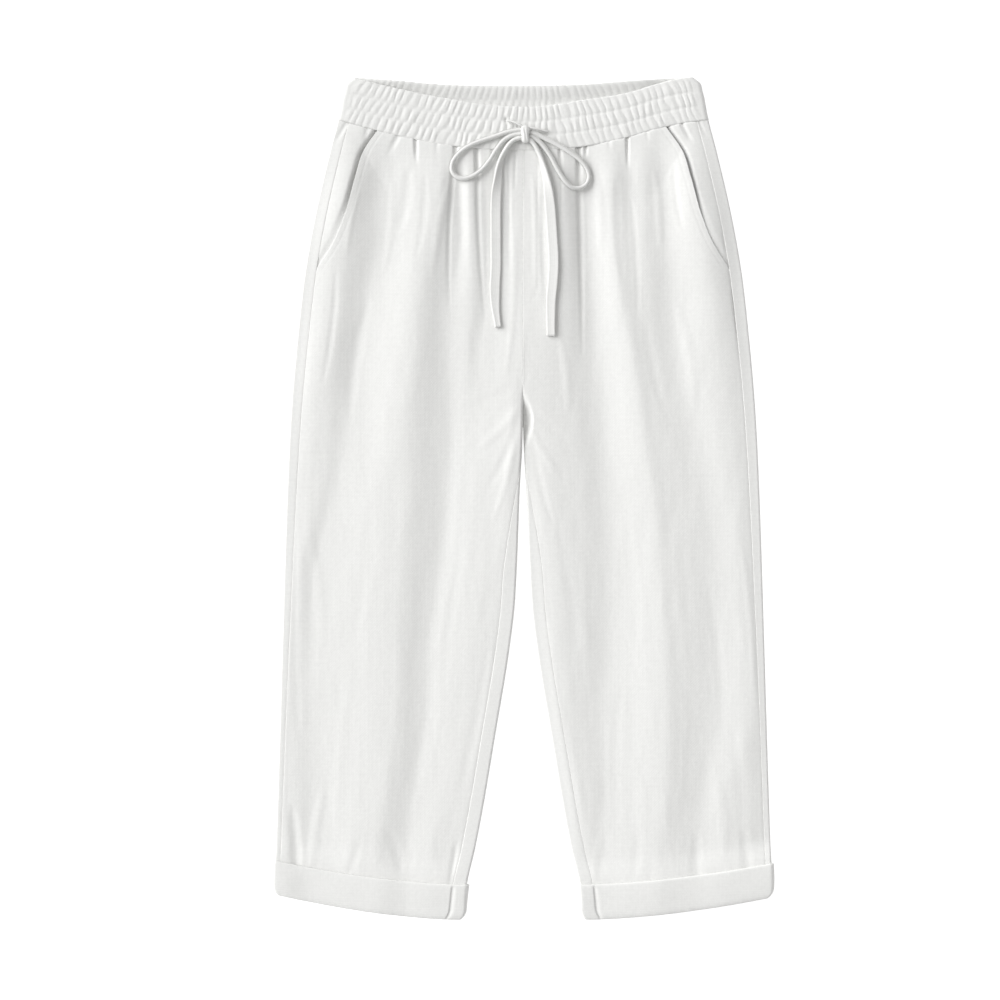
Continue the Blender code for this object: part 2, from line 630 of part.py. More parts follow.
def band_loop(fraction, inside):
    """Once round the waistband at this share of its height, on its outer or its inner face."""
    row = RIB_AT_STITCHES + (1 - RIB_AT_STITCHES) * abs(math.sin(3 * math.pi * fraction))
    half = outer_edge(BAND * fraction + 1.0) - (BAND_WALL + 0.2 if inside else 0.0)
    if inside:
        corner, low, high = BAND_EDGE_INSIDE, BAND_FLOOR, BAND_TOP - BAND_WALL
    else:
        corner, low, high = BAND_EDGE, 0.0, BAND_TOP
    middle, rise = (high + low) / 2, (high - low) / 2
    loop = []

    def add(x, z, share_back):
        front = column(WAIST, "front", x, "across")
        front += (column(WAIST, "seam", x, "across") - front) * fraction
        back = column(WAIST, "back", x, "across") + BAND * fraction
        loop.append((x, front + (back - front) * share_back, z))

    columns = RIBS * 4
    for j in range(columns + 1):
        x = (half - corner) * (2 * j / columns - 1)
        rib = 0.0 if inside else RIB_FRONT * row * (0.5 - 0.5 * math.cos(math.pi * j / 2))
        add(x, high + rib, 0.0)
    for j in range(1, 5):
        turn = math.pi * j / 5
        add(half - corner + corner * math.sin(turn), middle + rise * math.cos(turn), j / 5)
    columns = RIBS * 2
    for j in range(columns + 1):
        x = (half - corner) * (1 - 2 * j / columns)
        add(x, low + (RIB_BACK * (j % 2) if inside else 0.0), 1.0)
    for j in range(1, 5):
        turn = math.pi * j / 5
        add(corner - half - corner * math.sin(turn), middle - rise * math.cos(turn), 1 - j / 5)
    return loop


def waistband(name):
    rows = [(fraction, False) for fraction in (0.0, 1 / 6, 1 / 3, 1 / 2, 2 / 3, 5 / 6, 1.0)]
    rows += [(fraction, True) for fraction in (1.0, 0.0)]
    return ring(name, [band_loop(*row) for row in rows])


def turn_up_lengths(line, down):
    return np.concatenate(
        [np.linspace(line.inner, line.outer, 13)[:-1], np.linspace(line.outer, line.under, 6)[:-1],
         np.linspace(line.under, line.heel, 8)[:-1],
         np.linspace(line.heel, line.length[-1] + line.inner, 6)[:-1]]
    )


def turn_up(side, name):
    """The section goes down the outer face, round the fold and up inside, where the leg's end meets it."""
    outer, lip, stop = SEAM + TURN_UP_CLOTH, -CLOTH - 0.1, LEG_IN_TURN_UP + SEAM
    section = (
        (0.8, SEAM), (0.0, SEAM + 0.7), (0.8, outer), (26.0, outer), (31.5, outer - 0.3),
        (34.3, outer - 1.2), (TURN_UP, 0.4), (33.8, lip), (stop, lip), (stop, SEAM),
    )
    middle = (LEG_OUT_LOW + LEG_GAP_LOW) / 2
    loops = []
    for drop, out in section:
        loop = []
        rounding = 1 - CORNER_ROUNDING * (max(drop - LEG_IN_TURN_UP, 0.0) / (TURN_UP - LEG_IN_TURN_UP)) ** 2
        for j in range(len(turn_up_lengths(girth(side, OUTSEAM), OUTSEAM))):
            down = OUTSEAM - TURN_UP + drop
            for _ in range(4):
                line = girth(side, down)
                length = turn_up_lengths(line, down)[j]
                x, z = at_length(line, length)
                down = hem_down(side * x) - TURN_UP + drop
            out_x, out_z = outwards(line, length)
            x = middle + (x + out_x * out - middle) * rounding
            loop.append((side * x, down, z + out_z * out))
        loops.append(loop)
    return ring(name, loops)


def cord(name, route, wide, thick, step):
    """A flat tape, or a round strand where it is as wide as it is thick."""
    places = np.array(route, float)
    run = np.concatenate([[0.0], np.cumsum(np.linalg.norm(np.diff(places[:, :3], axis=0), axis=1))])
    at = np.linspace(0.0, run[-1], max(round(run[-1] / step), 4) + 1)
    line = np.array([through(run, places[:, i], at) for i in range(4)]).T
    curve = bpy.data.curves.new(name, "CURVE")
    curve.dimensions = "3D"
    curve.twist_mode = "Z_UP"
    curve.bevel_depth = thick / 2 * MM
    curve.extrude = (wide - thick) / 2 * MM
    curve.bevel_resolution = 2
    curve.use_fill_caps = True
    spline = curve.splines.new("POLY")
    spline.points.add(len(line) - 1)
    for point, (x, down, z, tilt) in zip(spline.points, line):
        point.co = (*world(x, down, z), 1.0)
        point.tilt = math.radians(tilt)
    curve.materials.append(linen(name))
    body = bpy.data.objects.new(name, curve)
    bpy.context.scene.collection.objects.link(body)


def knot(name):
    """Pulled tight into a block with round corners."""
    mesh = bpy.data.meshes.new(name)
    shape = bmesh.new()
    bmesh.ops.create_uvsphere(shape, u_segments=12, v_segments=9, radius=1.0)
    for corner in shape.verts:
        place = [
            middle + math.copysign(abs(co) ** KNOT_BLOCK, co) * size / 2
            for middle, co, size in zip(KNOT_AT, corner.co, KNOT)
        ]
        corner.co = world(*place)
    bmesh.ops.recalc_face_normals(shape, faces=shape.faces)
    shape.to_mesh(mesh)
    shape.free()
    mesh.shade_smooth()
    mesh.materials.append(linen(name))
    bpy.context.scene.collection.objects.link(bpy.data.objects.new(name, mesh))


def main():
    for thing in list(bpy.data.objects):
        bpy.data.objects.remove(thing)
    waistband("waistband")
    for side, word in ((-1, "left"), (1, "right")):
        front(side, f"front_{word}")
        back(side, f"back_{word}")
        pocket_facing(side, f"pocket_facing_{word}")
        turn_up(side, f"turn_up_{word}")
    knot("drawstring_knot")
    cord("drawstring_loop_left", LOOP_LEFT, LOOP_TAPE, LOOP_THICK, LOOP_STEP)
    cord("drawstring_loop_right", LOOP_RIGHT, LOOP_TAPE, LOOP_THICK, LOOP_STEP)
    cord("drawstring_end_left", END_LEFT, TAPE, TAPE_THICK, END_STEP)
    cord("drawstring_end_right", END_RIGHT, TAPE, TAPE_THICK, END_STEP)
    cord("drawstring_exit_left", EXIT_LEFT, STRAND, STRAND, EXIT_STEP)
    cord("drawstring_exit_right", EXIT_RIGHT, STRAND, STRAND, EXIT_STEP)


main()
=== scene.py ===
import math
from collections import namedtuple

import bmesh
import bpy
import numpy as np
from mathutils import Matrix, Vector


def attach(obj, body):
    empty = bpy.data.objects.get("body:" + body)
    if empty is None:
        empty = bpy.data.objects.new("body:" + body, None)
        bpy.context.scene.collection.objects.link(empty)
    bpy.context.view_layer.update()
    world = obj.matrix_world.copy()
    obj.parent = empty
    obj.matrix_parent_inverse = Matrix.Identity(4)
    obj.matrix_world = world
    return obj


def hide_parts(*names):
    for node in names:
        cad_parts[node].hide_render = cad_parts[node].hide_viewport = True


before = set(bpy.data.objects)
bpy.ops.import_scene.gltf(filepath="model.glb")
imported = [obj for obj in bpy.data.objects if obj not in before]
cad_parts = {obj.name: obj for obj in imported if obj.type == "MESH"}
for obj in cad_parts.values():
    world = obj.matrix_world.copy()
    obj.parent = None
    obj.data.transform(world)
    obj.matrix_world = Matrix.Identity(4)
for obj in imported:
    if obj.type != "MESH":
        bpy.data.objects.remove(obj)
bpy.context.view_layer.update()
mm = 0.001

# Lengths are in millimetres. x is the distance across from the centre front, negative on the left, and down
# is the distance below the top of the waist. toWorld turns them to the frame's metres.

garment = {
    "outseam": 825.0,  # top of the waist to the hem
    "cloth": 0.8,  # medium linen with a little loft
    "edge": 2.0,  # reach of a rolled side edge
    "rise": 311.0,  # where the centre seam ends and the legs part
    "crotch": 352.5,
    "climb": 16.0,  # above the crotch, over which the underside comes up to the inner edge
    "diveFrom": 302.0,  # where the inner edge starts to roll down between the legs
    "diveOver": 28.0,
    "diveLength": 0.9,  # how much longer that makes the edge
    "inseamUp": 500.0,  # where the inseam has come up on the top
    "inseamInset": 11.5,
    "sideInset": 12.0,  # from the edge in to the side seam, beside the pocket and at the hem
    "sideInsetLow": 6.0,
    "sideRun": 560.0,
    "seam": 0.08,  # gap between sewn pieces
    "turnUp": 35.0,
    "turnUpCloth": 2.2,
    "legInTurnUp": 24.0,  # how far the leg runs on inside it
    "tuckedOver": 26.0,  # how far above it the leg starts to flatten
    "band": 42.0,
    "hemIn": 53.0,  # inner and outer ends of a hem
    "hemOut": 247.2,
    "hemLeft": 24.5,  # how much higher it is at its outer end
    "hemRight": 21.5,
    "hemCurve": 1.7,
}

hollow = {"wide": 7.5, "at": 336.0, "length": 34.0, "floor": 1.8}  # the dark one at the crotch

pile = {  # how high the front lies before its folds
    "rest": 3.2,  # where it rests on the back
    "roll": 1.6,  # how much higher it stands along the left leg's inner edge
    "rollReach": 30.0,
    "fall": 1.3,  # how much lower it lies along the other edges
    "fallReach": 26.0,
    "waist": 3.0,  # how much higher it comes out of the waistband
    "waistReach": 75.0,
    "hip": 3.2,  # how much higher the pockets make it
    "hipAcross": 178.0,
    "hipReach": 60.0,
    "hipDown": 130.0,  # where that starts to fade
    "hipFades": 90.0,
    "held": 0.35,  # share of a fold's height that is left at the waist seam
    "release": 45.0,  # below the seam, where the folds come free of the elastic
    "turnUp": 4.4,
    "turnUpFolds": 0.45,  # share of a fold's height that runs on over the turn-up
    "backFollows": 0.3,  # how far the back rises into a fold of the front
    "backFree": 60.0,  # where it is free to
}

outline = {  # half width outside and half gap between the legs, at each distance down
    "down": [0, 5, 15, 38, 71.5, 130, 189, 248, 326, 352.5, 404, 482, 522, 561, 639, 757, 795, 840],
    "outer": [
        166, 172.5, 176.2, 180.8, 189.4, 203.1, 213.9, 220.8, 227.6, 229.2, 231.5, 234.2, 235.4, 236.6, 238.9,
        242.8, 244.3, 244.5,
    ],
    "gap": [0, 0, 0, 0, 0, 0, 0, 0, 0, 0.3, 3, 5.9, 8.3, 13.2, 26, 47, 55.5, 56],
}

waist = {  # top of the back, top of the front, and the front seam to the panels
    "across": [-190, -168, -128, -79, -25, 10, 62, 104, 134, 155, 190],
    "back": [0, 0.5, 3.3, 7.5, 8.8, 8.8, 7.2, 4, 2, 0.8, 0],
    "front": [0.5, 2.2, 11, 21, 28.5, 29.8, 22.8, 15.8, 6.8, 2, 0.5],
    "seam": [39, 45.5, 56, 66, 71, 71.5, 67.5, 58.5, 50, 45.5, 40.5],
}

pocket = {
    "down": [35, 52, 72, 97, 136, 165, 187],
    "across": [130, 142, 155.5, 163.5, 174.5, 187, 201.5],
    "end": 187.0,
    "facingEnd": 190.0,
    "facingReach": 14.0,  # how far it runs in under the front
    "facingDrop": 3.2,  # how far it lies under the front's edge
    "facingFlat": 0.9,  # the same where the pocket lies shut
    "facingRun": 5.5,  # distance over which it drops
    "facingRunFlat": 3.0,  # what is added to that where the pocket lies shut
    "shutFrom": 112.0,
    "shutOver": 38.0,
    "ajar": 0.1,  # how far the front's edge stands open at the ends
    "gape": 1.5,  # and how much farther in the middle
    "gapeAt": 96.0,
    "gapeLength": 55.0,
    "gapeReach": 30.0,
    "closedFrom": 178.0,
    "closedOver": 20.0,
}

stitching = {  # where the rows run, and how deep and wide the cloth is drawn in under them
    "pocketIn": 6.0,
    "pocketDip": 0.16,
    "pocketDipWide": 0.9,
    "flyAcross": 14.2,
    "flyDown": 205.0,
    "flyEnd": 219.0,
    "flyDip": 0.3,
    "flyDipWide": 1.3,
}

Line = namedtuple("Line", "name across lift")
folds = {  # ridge and valley lines down each half, with their distance across and their height at each level
    "down": [81, 120, 160, 218, 277, 336, 394, 473, 551, 630, 708, 752],
    "left": [
        Line("outer edge", [-190, -200, -209, -217, -224, -228, -231, -234, -236, -240, -242, -243],
             [1.8, 2.2, 2.4, 2.1, 2.1, 1.9, 1.8, 1.9, 1.8, 2.0, 2.0, 1.8]),
        Line("outer ridge", [-169, -172, -175, -180, -190, -192, -197, -218, -226, -230, -232, -232],
             [2.4, 3.6, 4.0, 4.0, 4.1, 2.7, 1.8, 2.0, 1.8, 2.0, 2.0, 1.8]),
        Line("outer valley", [-136, -142, -142, -152, -162, -168, -179, -201, -207, -207, -205, -210],
             [1.9, 1.6, 1.4, 1.1, 1.1, 1.4, 1.4, 0.9, 0.6, 0.6, 0.4, 0.0]),
        Line("main ridge", [-81, -83, -93, -103, -109, -116, -118, -122, -125, -127, -138, -146],
             [5.0, 5.9, 6.2, 6.1, 6.3, 5.9, 5.9, 5.7, 5.2, 4.8, 4.4, 3.6]),
        Line("main valley", [-62, -63, -62, -71, -75, -73, -75, -83, -93, -97, -109, -116],
             [1.4, 1.4, 1.6, 2.3, 2.3, 1.9, 2.1, 2.2, 2.2, 2.3, 1.9, 1.5]),
        Line("pleat ridge", [-53, -52, -51, -50, -55, -56, -60, -67, -76, -81, -94, -104],
             [3.6, 4.0, 3.8, 3.3, 2.9, 2.8, 3.1, 3.3, 3.4, 3.3, 2.7, 2.2]),
        Line("pleat valley", [-41, -35, -33, -34, -42, -40, -44, -50, -60, -67, -78, -89],
             [1.6, 1.4, 1.6, 1.8, 2.7, 3.6, 4.4, 4.6, 4.3, 4.0, 3.5, 3.0]),
        Line("inner ridge", [-15, -13, -9, -5, -5, -12, -16, -26, -39, -50, -63, -72],
             [2.2, 2.6, 3.2, 3.7, 4.7, 5.0, 5.4, 5.3, 4.6, 4.2, 3.6, 2.8]),
        Line("inner edge", [0, 0, 0, 0, 0, -0.5, -2.5, -5.5, -12, -24, -38, -46],
             [2.4, 2.8, 3.4, 3.9, 4.7, 4.5, 4.3, 3.9, 3.2, 2.8, 2.4, 1.8]),
    ],
    "right": [
        Line("inner edge", [0, 0, 0, 0, 0, 0.5, 2.5, 5.5, 12, 24, 38, 46],
             [2.4, 2.8, 3.4, 3.9, 4.7, 4.5, 4.3, 3.9, 3.2, 2.8, 2.4, 1.8]),
        Line("inner ridge", [12, 7, 7, 8, 4, 8, 15, 25, 32, 37, 49, 54],
             [2.3, 2.9, 3.4, 3.9, 4.6, 4.9, 4.9, 4.5, 4.0, 3.6, 3.0, 2.2]),
        Line("pleat ridge", [36, 40, 42, 43, 43, 48, 54, 59, 61, 60, 65, 66],
             [4.2, 4.5, 4.5, 4.2, 3.4, 3.3, 3.5, 3.1, 2.6, 2.4, 2.2, 1.6]),
        Line("deep valley", [59, 61, 63, 67, 72, 78, 83, 87, 86, 81, 82, 77],
             [0.2, -0.2, -0.2, 0.2, 0.4, 0.7, 1.1, 1.1, 1.0, 1.2, 1.2, 1.0]),
        Line("main ridge", [85, 87, 89, 95, 106, 114, 124, 132, 136, 138, 134, 129],
             [4.0, 4.5, 4.7, 5.0, 5.0, 4.8, 5.0, 4.8, 4.7, 4.8, 4.4, 3.8]),
        Line("tuck valley", [103, 103, 105, 109, 119, 128, 138, 146, 150, 154, 150, 144],
             [2.2, 3.1, 3.6, 4.1, 4.3, 4.2, 4.3, 4.2, 4.1, 4.0, 3.6, 3.2]),
        Line("tuck ridge", [117, 119, 120, 124, 132, 141, 152, 160, 163, 166, 162, 158],
             [3.5, 4.0, 4.0, 3.7, 3.3, 3.3, 3.4, 3.4, 3.3, 2.9, 2.2, 2.2]),
        Line("outer valley", [137, 140, 142, 147, 152, 163, 175, 186, 191, 189, 175, 173],
             [2.2, 2.4, 2.3, 2.1, 2.1, 2.1, 2.2, 2.0, 1.8, 1.6, 1.3, 1.4]),
        Line("outer ridge", [159, 167, 175, 182, 188, 193, 203, 214, 220, 224, 197, 197],
             [3.2, 4.8, 5.6, 5.5, 4.9, 3.9, 3.3, 3.0, 3.0, 3.0, 2.2, 2.0]),
        Line("outer edge", [190, 200, 209, 217, 224, 228, 231, 234, 236, 240, 242, 243],
             [1.9, 2.4, 2.8, 2.7, 2.9, 3.0, 3.0, 2.7, 2.8, 2.5, 1.2, 0.2]),
    ],
}

Tuck = namedtuple("Tuck", "across length wide depth lean")
tucks = [  # pinched in by the elastic just under the waist seam
    Tuck(-172, 34, 7, 0.7, -0.50),
    Tuck(-152, 22, 5, 1.2, -0.22),
    Tuck(-122, 26, 9, 0.9, -0.45),
    Tuck(-105, 27, 5.5, 2.4, 0.03),
    Tuck(-84, 14, 6, 0.5, -0.10),
    Tuck(-66.5, 10, 6.5, 1.8, 0.10),
    Tuck(-46, 46, 7, 2.2, 0.06),
    Tuck(-30, 30, 6, 1.0, 0.05),
    Tuck(16, 26, 6, 0.9, 0.05),
    Tuck(36, 22, 6, 1.2, 0.05),
    Tuck(54.5, 40, 7, 2.2, 0.05),
    Tuck(61.5, 14, 5, 2.0, 0.0),
    Tuck(84, 12, 6, 0.5, 0.10),
    Tuck(102, 36, 5, 2.6, 0.02),
    Tuck(121, 12, 6, 0.5, 0.12),
    Tuck(155, 26, 6, 1.7, 0.48),
    Tuck(172, 22, 6, 0.7, 0.40),
]

Crease = namedtuple("Crease", "x0 down0 x1 down1 bow wide high")  # bow is how far its middle is off the line
creases = [  # small soft folds, low ones with a height below zero
    # seat and fly, left
    Crease(-20, 90, -14, 190, 2, 5, -0.5), Crease(-9, 150, -16, 290, 3, 6, 0.4),
    Crease(-70, 100, -88, 190, -3, 7, 0.5), Crease(-112, 90, -120, 150, 2, 9, -0.5),
    Crease(-96, 95, -104, 175, 3, 6, -0.35), Crease(-128, 100, -136, 190, 3, 6, 0.3),
    Crease(-160, 110, -172, 175, -2, 5, 0.4), Crease(-183, 190, -196, 300, 3, 5, -0.45),
    Crease(-206, 195, -214, 270, -2, 4, 0.35), Crease(-150, 215, -170, 330, -4, 10, -0.4),
    # towards the crotch, left
    Crease(-4, 322, -46, 366, 4, 8, 0.45), Crease(-6, 336, -34, 402, 4, 7, -0.4),
    Crease(-8, 352, -30, 436, 3, 6, 0.35), Crease(-4, 300, -60, 326, 5, 9, -0.3),
    # left leg
    Crease(-224, 430, -219, 650, -3, 8, -0.36), Crease(-210, 440, -196, 560, 3, 8, 0.24),
    Crease(-150, 420, -168, 560, 5, 10, -0.21), Crease(-60, 470, -78, 600, -3, 8, -0.18),
    Crease(-90, 620, -112, 745, 3, 9, 0.18), Crease(-35, 560, -62, 700, 3, 7, -0.21),
    Crease(-170, 600, -182, 730, -3, 10, 0.18), Crease(-226, 715, -221, 790, 1, 8, -1),
    Crease(-196, 700, -206, 775, -2, 8, 0.4), Crease(-134, 735, -120, 780, 3, 9, -0.45),
    Crease(-66, 750, -71, 795, 1, 6, -0.8), Crease(-160, 745, -172, 782, 2, 7, -0.3),
    # seat and fly, right
    Crease(9, 96, 13, 210, 2, 5, 0.4), Crease(20, 100, 24, 230, -2, 5, -0.45),
    Crease(36, 250, 44, 330, 2, 7, 0.4), Crease(70, 90, 76, 170, 2, 7, 0.5),
    Crease(92, 100, 98, 200, -2, 7, -0.45), Crease(106, 120, 112, 235, 2, 5, -0.35),
    Crease(128, 90, 134, 170, 2, 6, 0.4), Crease(148, 88, 156, 150, -2, 5, -0.4),
    Crease(166, 90, 182, 150, -2, 5, 0.5), Crease(196, 150, 212, 210, -2, 5, -0.6),
    Crease(210, 215, 221, 330, 2, 5, -0.5), Crease(150, 220, 168, 330, 4, 9, 0.35),
    Crease(120, 240, 140, 330, -3, 8, -0.3),
    # towards the crotch, right
    Crease(5, 318, 44, 356, -4, 8, -0.45), Crease(6, 334, 36, 392, -4, 7, 0.45),
    Crease(9, 350, 30, 440, -3, 6, -0.35), Crease(4, 298, 58, 322, -5, 9, 0.3),
    # right leg
    Crease(30, 420, 52, 560, 3, 8, -0.18), Crease(60, 470, 66, 600, -3, 8, 0.21),
    Crease(100, 430, 110, 560, 3, 9, -0.21), Crease(150, 440, 164, 600, -4, 10, 0.21),
    Crease(182, 500, 196, 650, 3, 8, -0.21), Crease(214, 460, 226, 600, 3, 6, 0.3),
    Crease(40, 620, 58, 740, 3, 7, 0.18), Crease(96, 600, 92, 730, -3, 8, -0.18),
    Crease(205, 650, 214, 740, 5, 10, -0.24), Crease(217, 735, 221, 785, -1, 9, -0.7),
    Crease(170, 740, 168, 795, 1, 9, -0.55), Crease(140, 700, 146, 775, -2, 8, 0.2),
    Crease(112, 735, 108, 782, 2, 8, -0.25), Crease(78, 740, 70, 786, -2, 7, 0.25),
    Crease(190, 690, 196, 760, 3, 8, 0.2),
]
pleats = [  # sharper ones under the bow, deepest where they are sewn in
    Crease(-63, 50, -72, 225, -4, 4.6, -1.6), Crease(-44, 50, -37, 240, -3, 4.6, -1.6),
    Crease(-15, 66, -14, 165, 1, 3.4, -1), Crease(-7, 64, -8, 112, 0, 3.2, -1.1),
    Crease(53, 48, 58, 275, 1, 5.4, -1.7), Crease(36, 60, 37, 140, 1, 3.4, -0.9),
]
pleatFades = 0.7  # share of its depth that a pleat has lost at its foot


def ease(t):
    t = np.clip(t, 0.0, 1.0)
    return t * t * (3 - 2 * t)


def bump(t):
    return 0.5 * (1 + np.cos(math.pi * np.clip(t, -1.0, 1.0)))


def between(t, step, z0, slope0, z1, slope1):  # share t of the way along a curve with these ends and slopes
    return (
        z0 * (1 + 2 * t) * (1 - t) ** 2
        + slope0 * step * t * (1 - t) ** 2
        + z1 * t * t * (3 - 2 * t)
        + slope1 * step * t * t * (t - 1)
    )


def through(keys, values, at):  # a smooth line through values at these keys
    keys, values = np.array(keys, float), np.array(values, float)
    slopes = np.gradient(values, keys)
    at = np.clip(at, keys[0], keys[-1])
    i = np.clip(np.searchsorted(keys, at) - 1, 0, len(keys) - 2)
    step = keys[i + 1] - keys[i]
    return between((at - keys[i]) / step, step, values[i], slopes[i], values[i + 1], slopes[i + 1])


def lumps(x, y, cellX, cellY, seed):  # smooth random lumps, -1 to 1, on a fixed lattice
    lattice = np.random.default_rng(seed).uniform(-1, 1, (61, 67))
    x, y = np.asarray(x, float) / cellX, np.asarray(y, float) / cellY
    i, j = np.floor(x).astype(int), np.floor(y).astype(int)
    u, v = ease(x - i), ease(y - j)
    low = lattice[i % 61, j % 67] * (1 - u) + lattice[(i + 1) % 61, j % 67] * u
    high = lattice[i % 61, (j + 1) % 67] * (1 - u) + lattice[(i + 1) % 61, (j + 1) % 67] * u
    return low * (1 - v) + high * v


def outerEdge(down):
    return through(outline["down"], outline["outer"], down)


def innerEdge(down):
    return np.maximum(through(outline["down"], outline["gap"], down), 0.0) + garment["seam"] / 2


def pocketAcross(down):
    return through(pocket["down"], pocket["across"], down)


def seamDown(x, under=0.0):  # the waist seam, from the front, 0, round the side to underneath, 1
    seam = through(waist["across"], waist["seam"], x)
    return seam + (through(waist["across"], waist["back"], x) + garment["band"] - seam) * under


def hemDown(x):
    outward = np.clip((abs(x) - garment["hemIn"]) / (garment["hemOut"] - garment["hemIn"]), 0.0, 1.0)
    higher = np.where(x < 0, garment["hemLeft"], garment["hemRight"])
    return garment["outseam"] - higher * outward ** garment["hemCurve"]


def inTurnUp(x, down):
    return ease((down - (hemDown(x) - garment["turnUp"] - garment["tuckedOver"])) / garment["tuckedOver"])


def acrossLines(places, heights, x):  # a smooth line through heights whose places differ from point to point
    slopes = np.zeros_like(heights)
    slopes[1:-1] = (heights[2:] - heights[:-2]) / (places[2:] - places[:-2])
    x = np.clip(x, places[0], places[-1])
    i = np.clip(np.sum(x >= places, axis=0) - 1, 0, len(places) - 2)[None]
    (x0, x1), (z0, z1), (slope0, slope1) = (
        [np.take_along_axis(line, j, axis=0)[0] for j in (i, i + 1)] for line in (places, heights, slopes)
    )
    return between((x - x0) / (x1 - x0), x1 - x0, z0, slope0, z1, slope1)


def foldLift(x, down):
    x, down = np.broadcast_arrays(np.asarray(x, float), np.asarray(down, float))
    halves = []
    for half in ("left", "right"):
        places = np.array([through(folds["down"], line.across, down) for line in folds[half]])
        heights = np.array([through(folds["down"], line.lift, down) for line in folds[half]])
        halves.append(acrossLines(places, heights, x))
    return np.where(x < 0, *halves)


def tuckDip(x, down):
    below = down - seamDown(x)
    dip = 0.0
    for tuck in tucks:
        away = (x - tuck.across - tuck.lean * below) / (tuck.wide / 2)
        dip = dip + tuck.depth * bump(away) * (1 - ease(below / tuck.length))
    return dip


def creaseLift(x, down):
    lift = 0.0
    for crease in creases + pleats:
        t = (down - crease.down0) / (crease.down1 - crease.down0)
        line = crease.x0 + (crease.x1 - crease.x0) * t + crease.bow * 4 * t * (1 - t)
        fade = np.sqrt(np.clip(4 * t * (1 - t), 0.0, 1.0))
        if crease in pleats:
            fade = fade * (1 - pleatFades * np.clip(t, 0.0, 1.0))
        wide = crease.wide * (0.45 + 0.55 * fade)  # narrower towards its ends
        lift = lift + crease.high * fade * bump((x - line) / wide)
    return lift


def underHeight(x, down):
    free = ease((down - pile["backFree"]) / pile["backFree"])
    lifted = pile["backFollows"] * np.maximum(foldLift(x, down) - pile["rest"], 0.0) * free
    inside = inTurnUp(x, down)
    return lifted * (1 - inside) + inside * (garment["turnUpCloth"] + garment["seam"])


def topHeight(x, down):
    below = down - seamDown(x)
    outer = -pile["fall"] * bump((outerEdge(down) - abs(x)) / pile["fallReach"])
    parted = ease((down - garment["rise"]) / (garment["crotch"] - garment["rise"]))
    rolled = np.where(x < 0, pile["roll"], -pile["fall"])
    inner = rolled * parted * bump((abs(x) - innerEdge(down)) / pile["rollReach"])
    atWaist = pile["waist"] * (1 - ease(below / pile["waistReach"]))
    hip = bump((abs(x) - pile["hipAcross"]) / pile["hipReach"])
    atHip = pile["hip"] * hip * (1 - ease((down - pile["hipDown"]) / pile["hipFades"]))
    released = pile["held"] + (1 - pile["held"]) * ease(below / pile["release"])
    openLeg = pile["rest"] + outer + inner + np.maximum(atWaist, atHip)
    openLeg = openLeg + released * foldLift(x, down) - tuckDip(x, down)
    closed = garment["turnUpCloth"] + garment["seam"] + pile["turnUp"]
    closed = closed + pile["turnUpFolds"] * foldLift(x, down)
    inside = inTurnUp(x, down)
    return openLeg * (1 - inside) + closed * inside


def pocketIn(x, down):
    return pocketAcross(down) - abs(x)


def pocketGape(x, down):
    openEdge = pocket["ajar"] + pocket["gape"] * bump((down - pocket["gapeAt"]) / pocket["gapeLength"])
    closed = ease((down - pocket["closedFrom"]) / pocket["closedOver"])
    return openEdge * (1 - ease(pocketIn(x, down) / pocket["gapeReach"])) * (1 - closed)


def facingSink(x, down):
    shut = ease((down - pocket["shutFrom"]) / pocket["shutOver"])
    drop = pocket["facingDrop"] + (pocket["facingFlat"] - pocket["facingDrop"]) * shut
    run = pocket["facingRun"] + pocket["facingRunFlat"] * shut
    return drop * ease((pocketIn(x, down) + run) / run)


def quarter(turn, x0, z0, x1, z1):  # leaves (x0, z0) level and meets (x1, z1) upright
    turn = np.clip(turn, 0.0, 1.0) * math.pi / 2
    return x0 + (x1 - x0) * np.sin(turn), z0 + (z1 - z0) * (1 - np.cos(turn))


def hollowed(turn, share, x0, z0, x1, z1):  # the same, by this share a steep drop to a flat floor
    roundX, roundZ = quarter(turn, x0, z0, x1, z1)
    turn = np.clip(turn, 0.0, 1.0) * math.pi / 2
    dropX, dropZ = x0 + (x1 - x0) * (1 - np.cos(turn)), z0 + (z1 - z0) * np.sin(turn)
    return roundX + (dropX - roundX) * share, roundZ + (dropZ - roundZ) * share


def dive(down):
    return ease((down - garment["diveFrom"]) / garment["diveOver"])


def hollowShare(side, down):  # the right leg's edge stands back from the centre at the crotch
    return bump((down - hollow["at"]) / hollow["length"]) * (side > 0)


def innerReach(side, down):
    return garment["edge"] + hollow["wide"] * hollowShare(side, down)


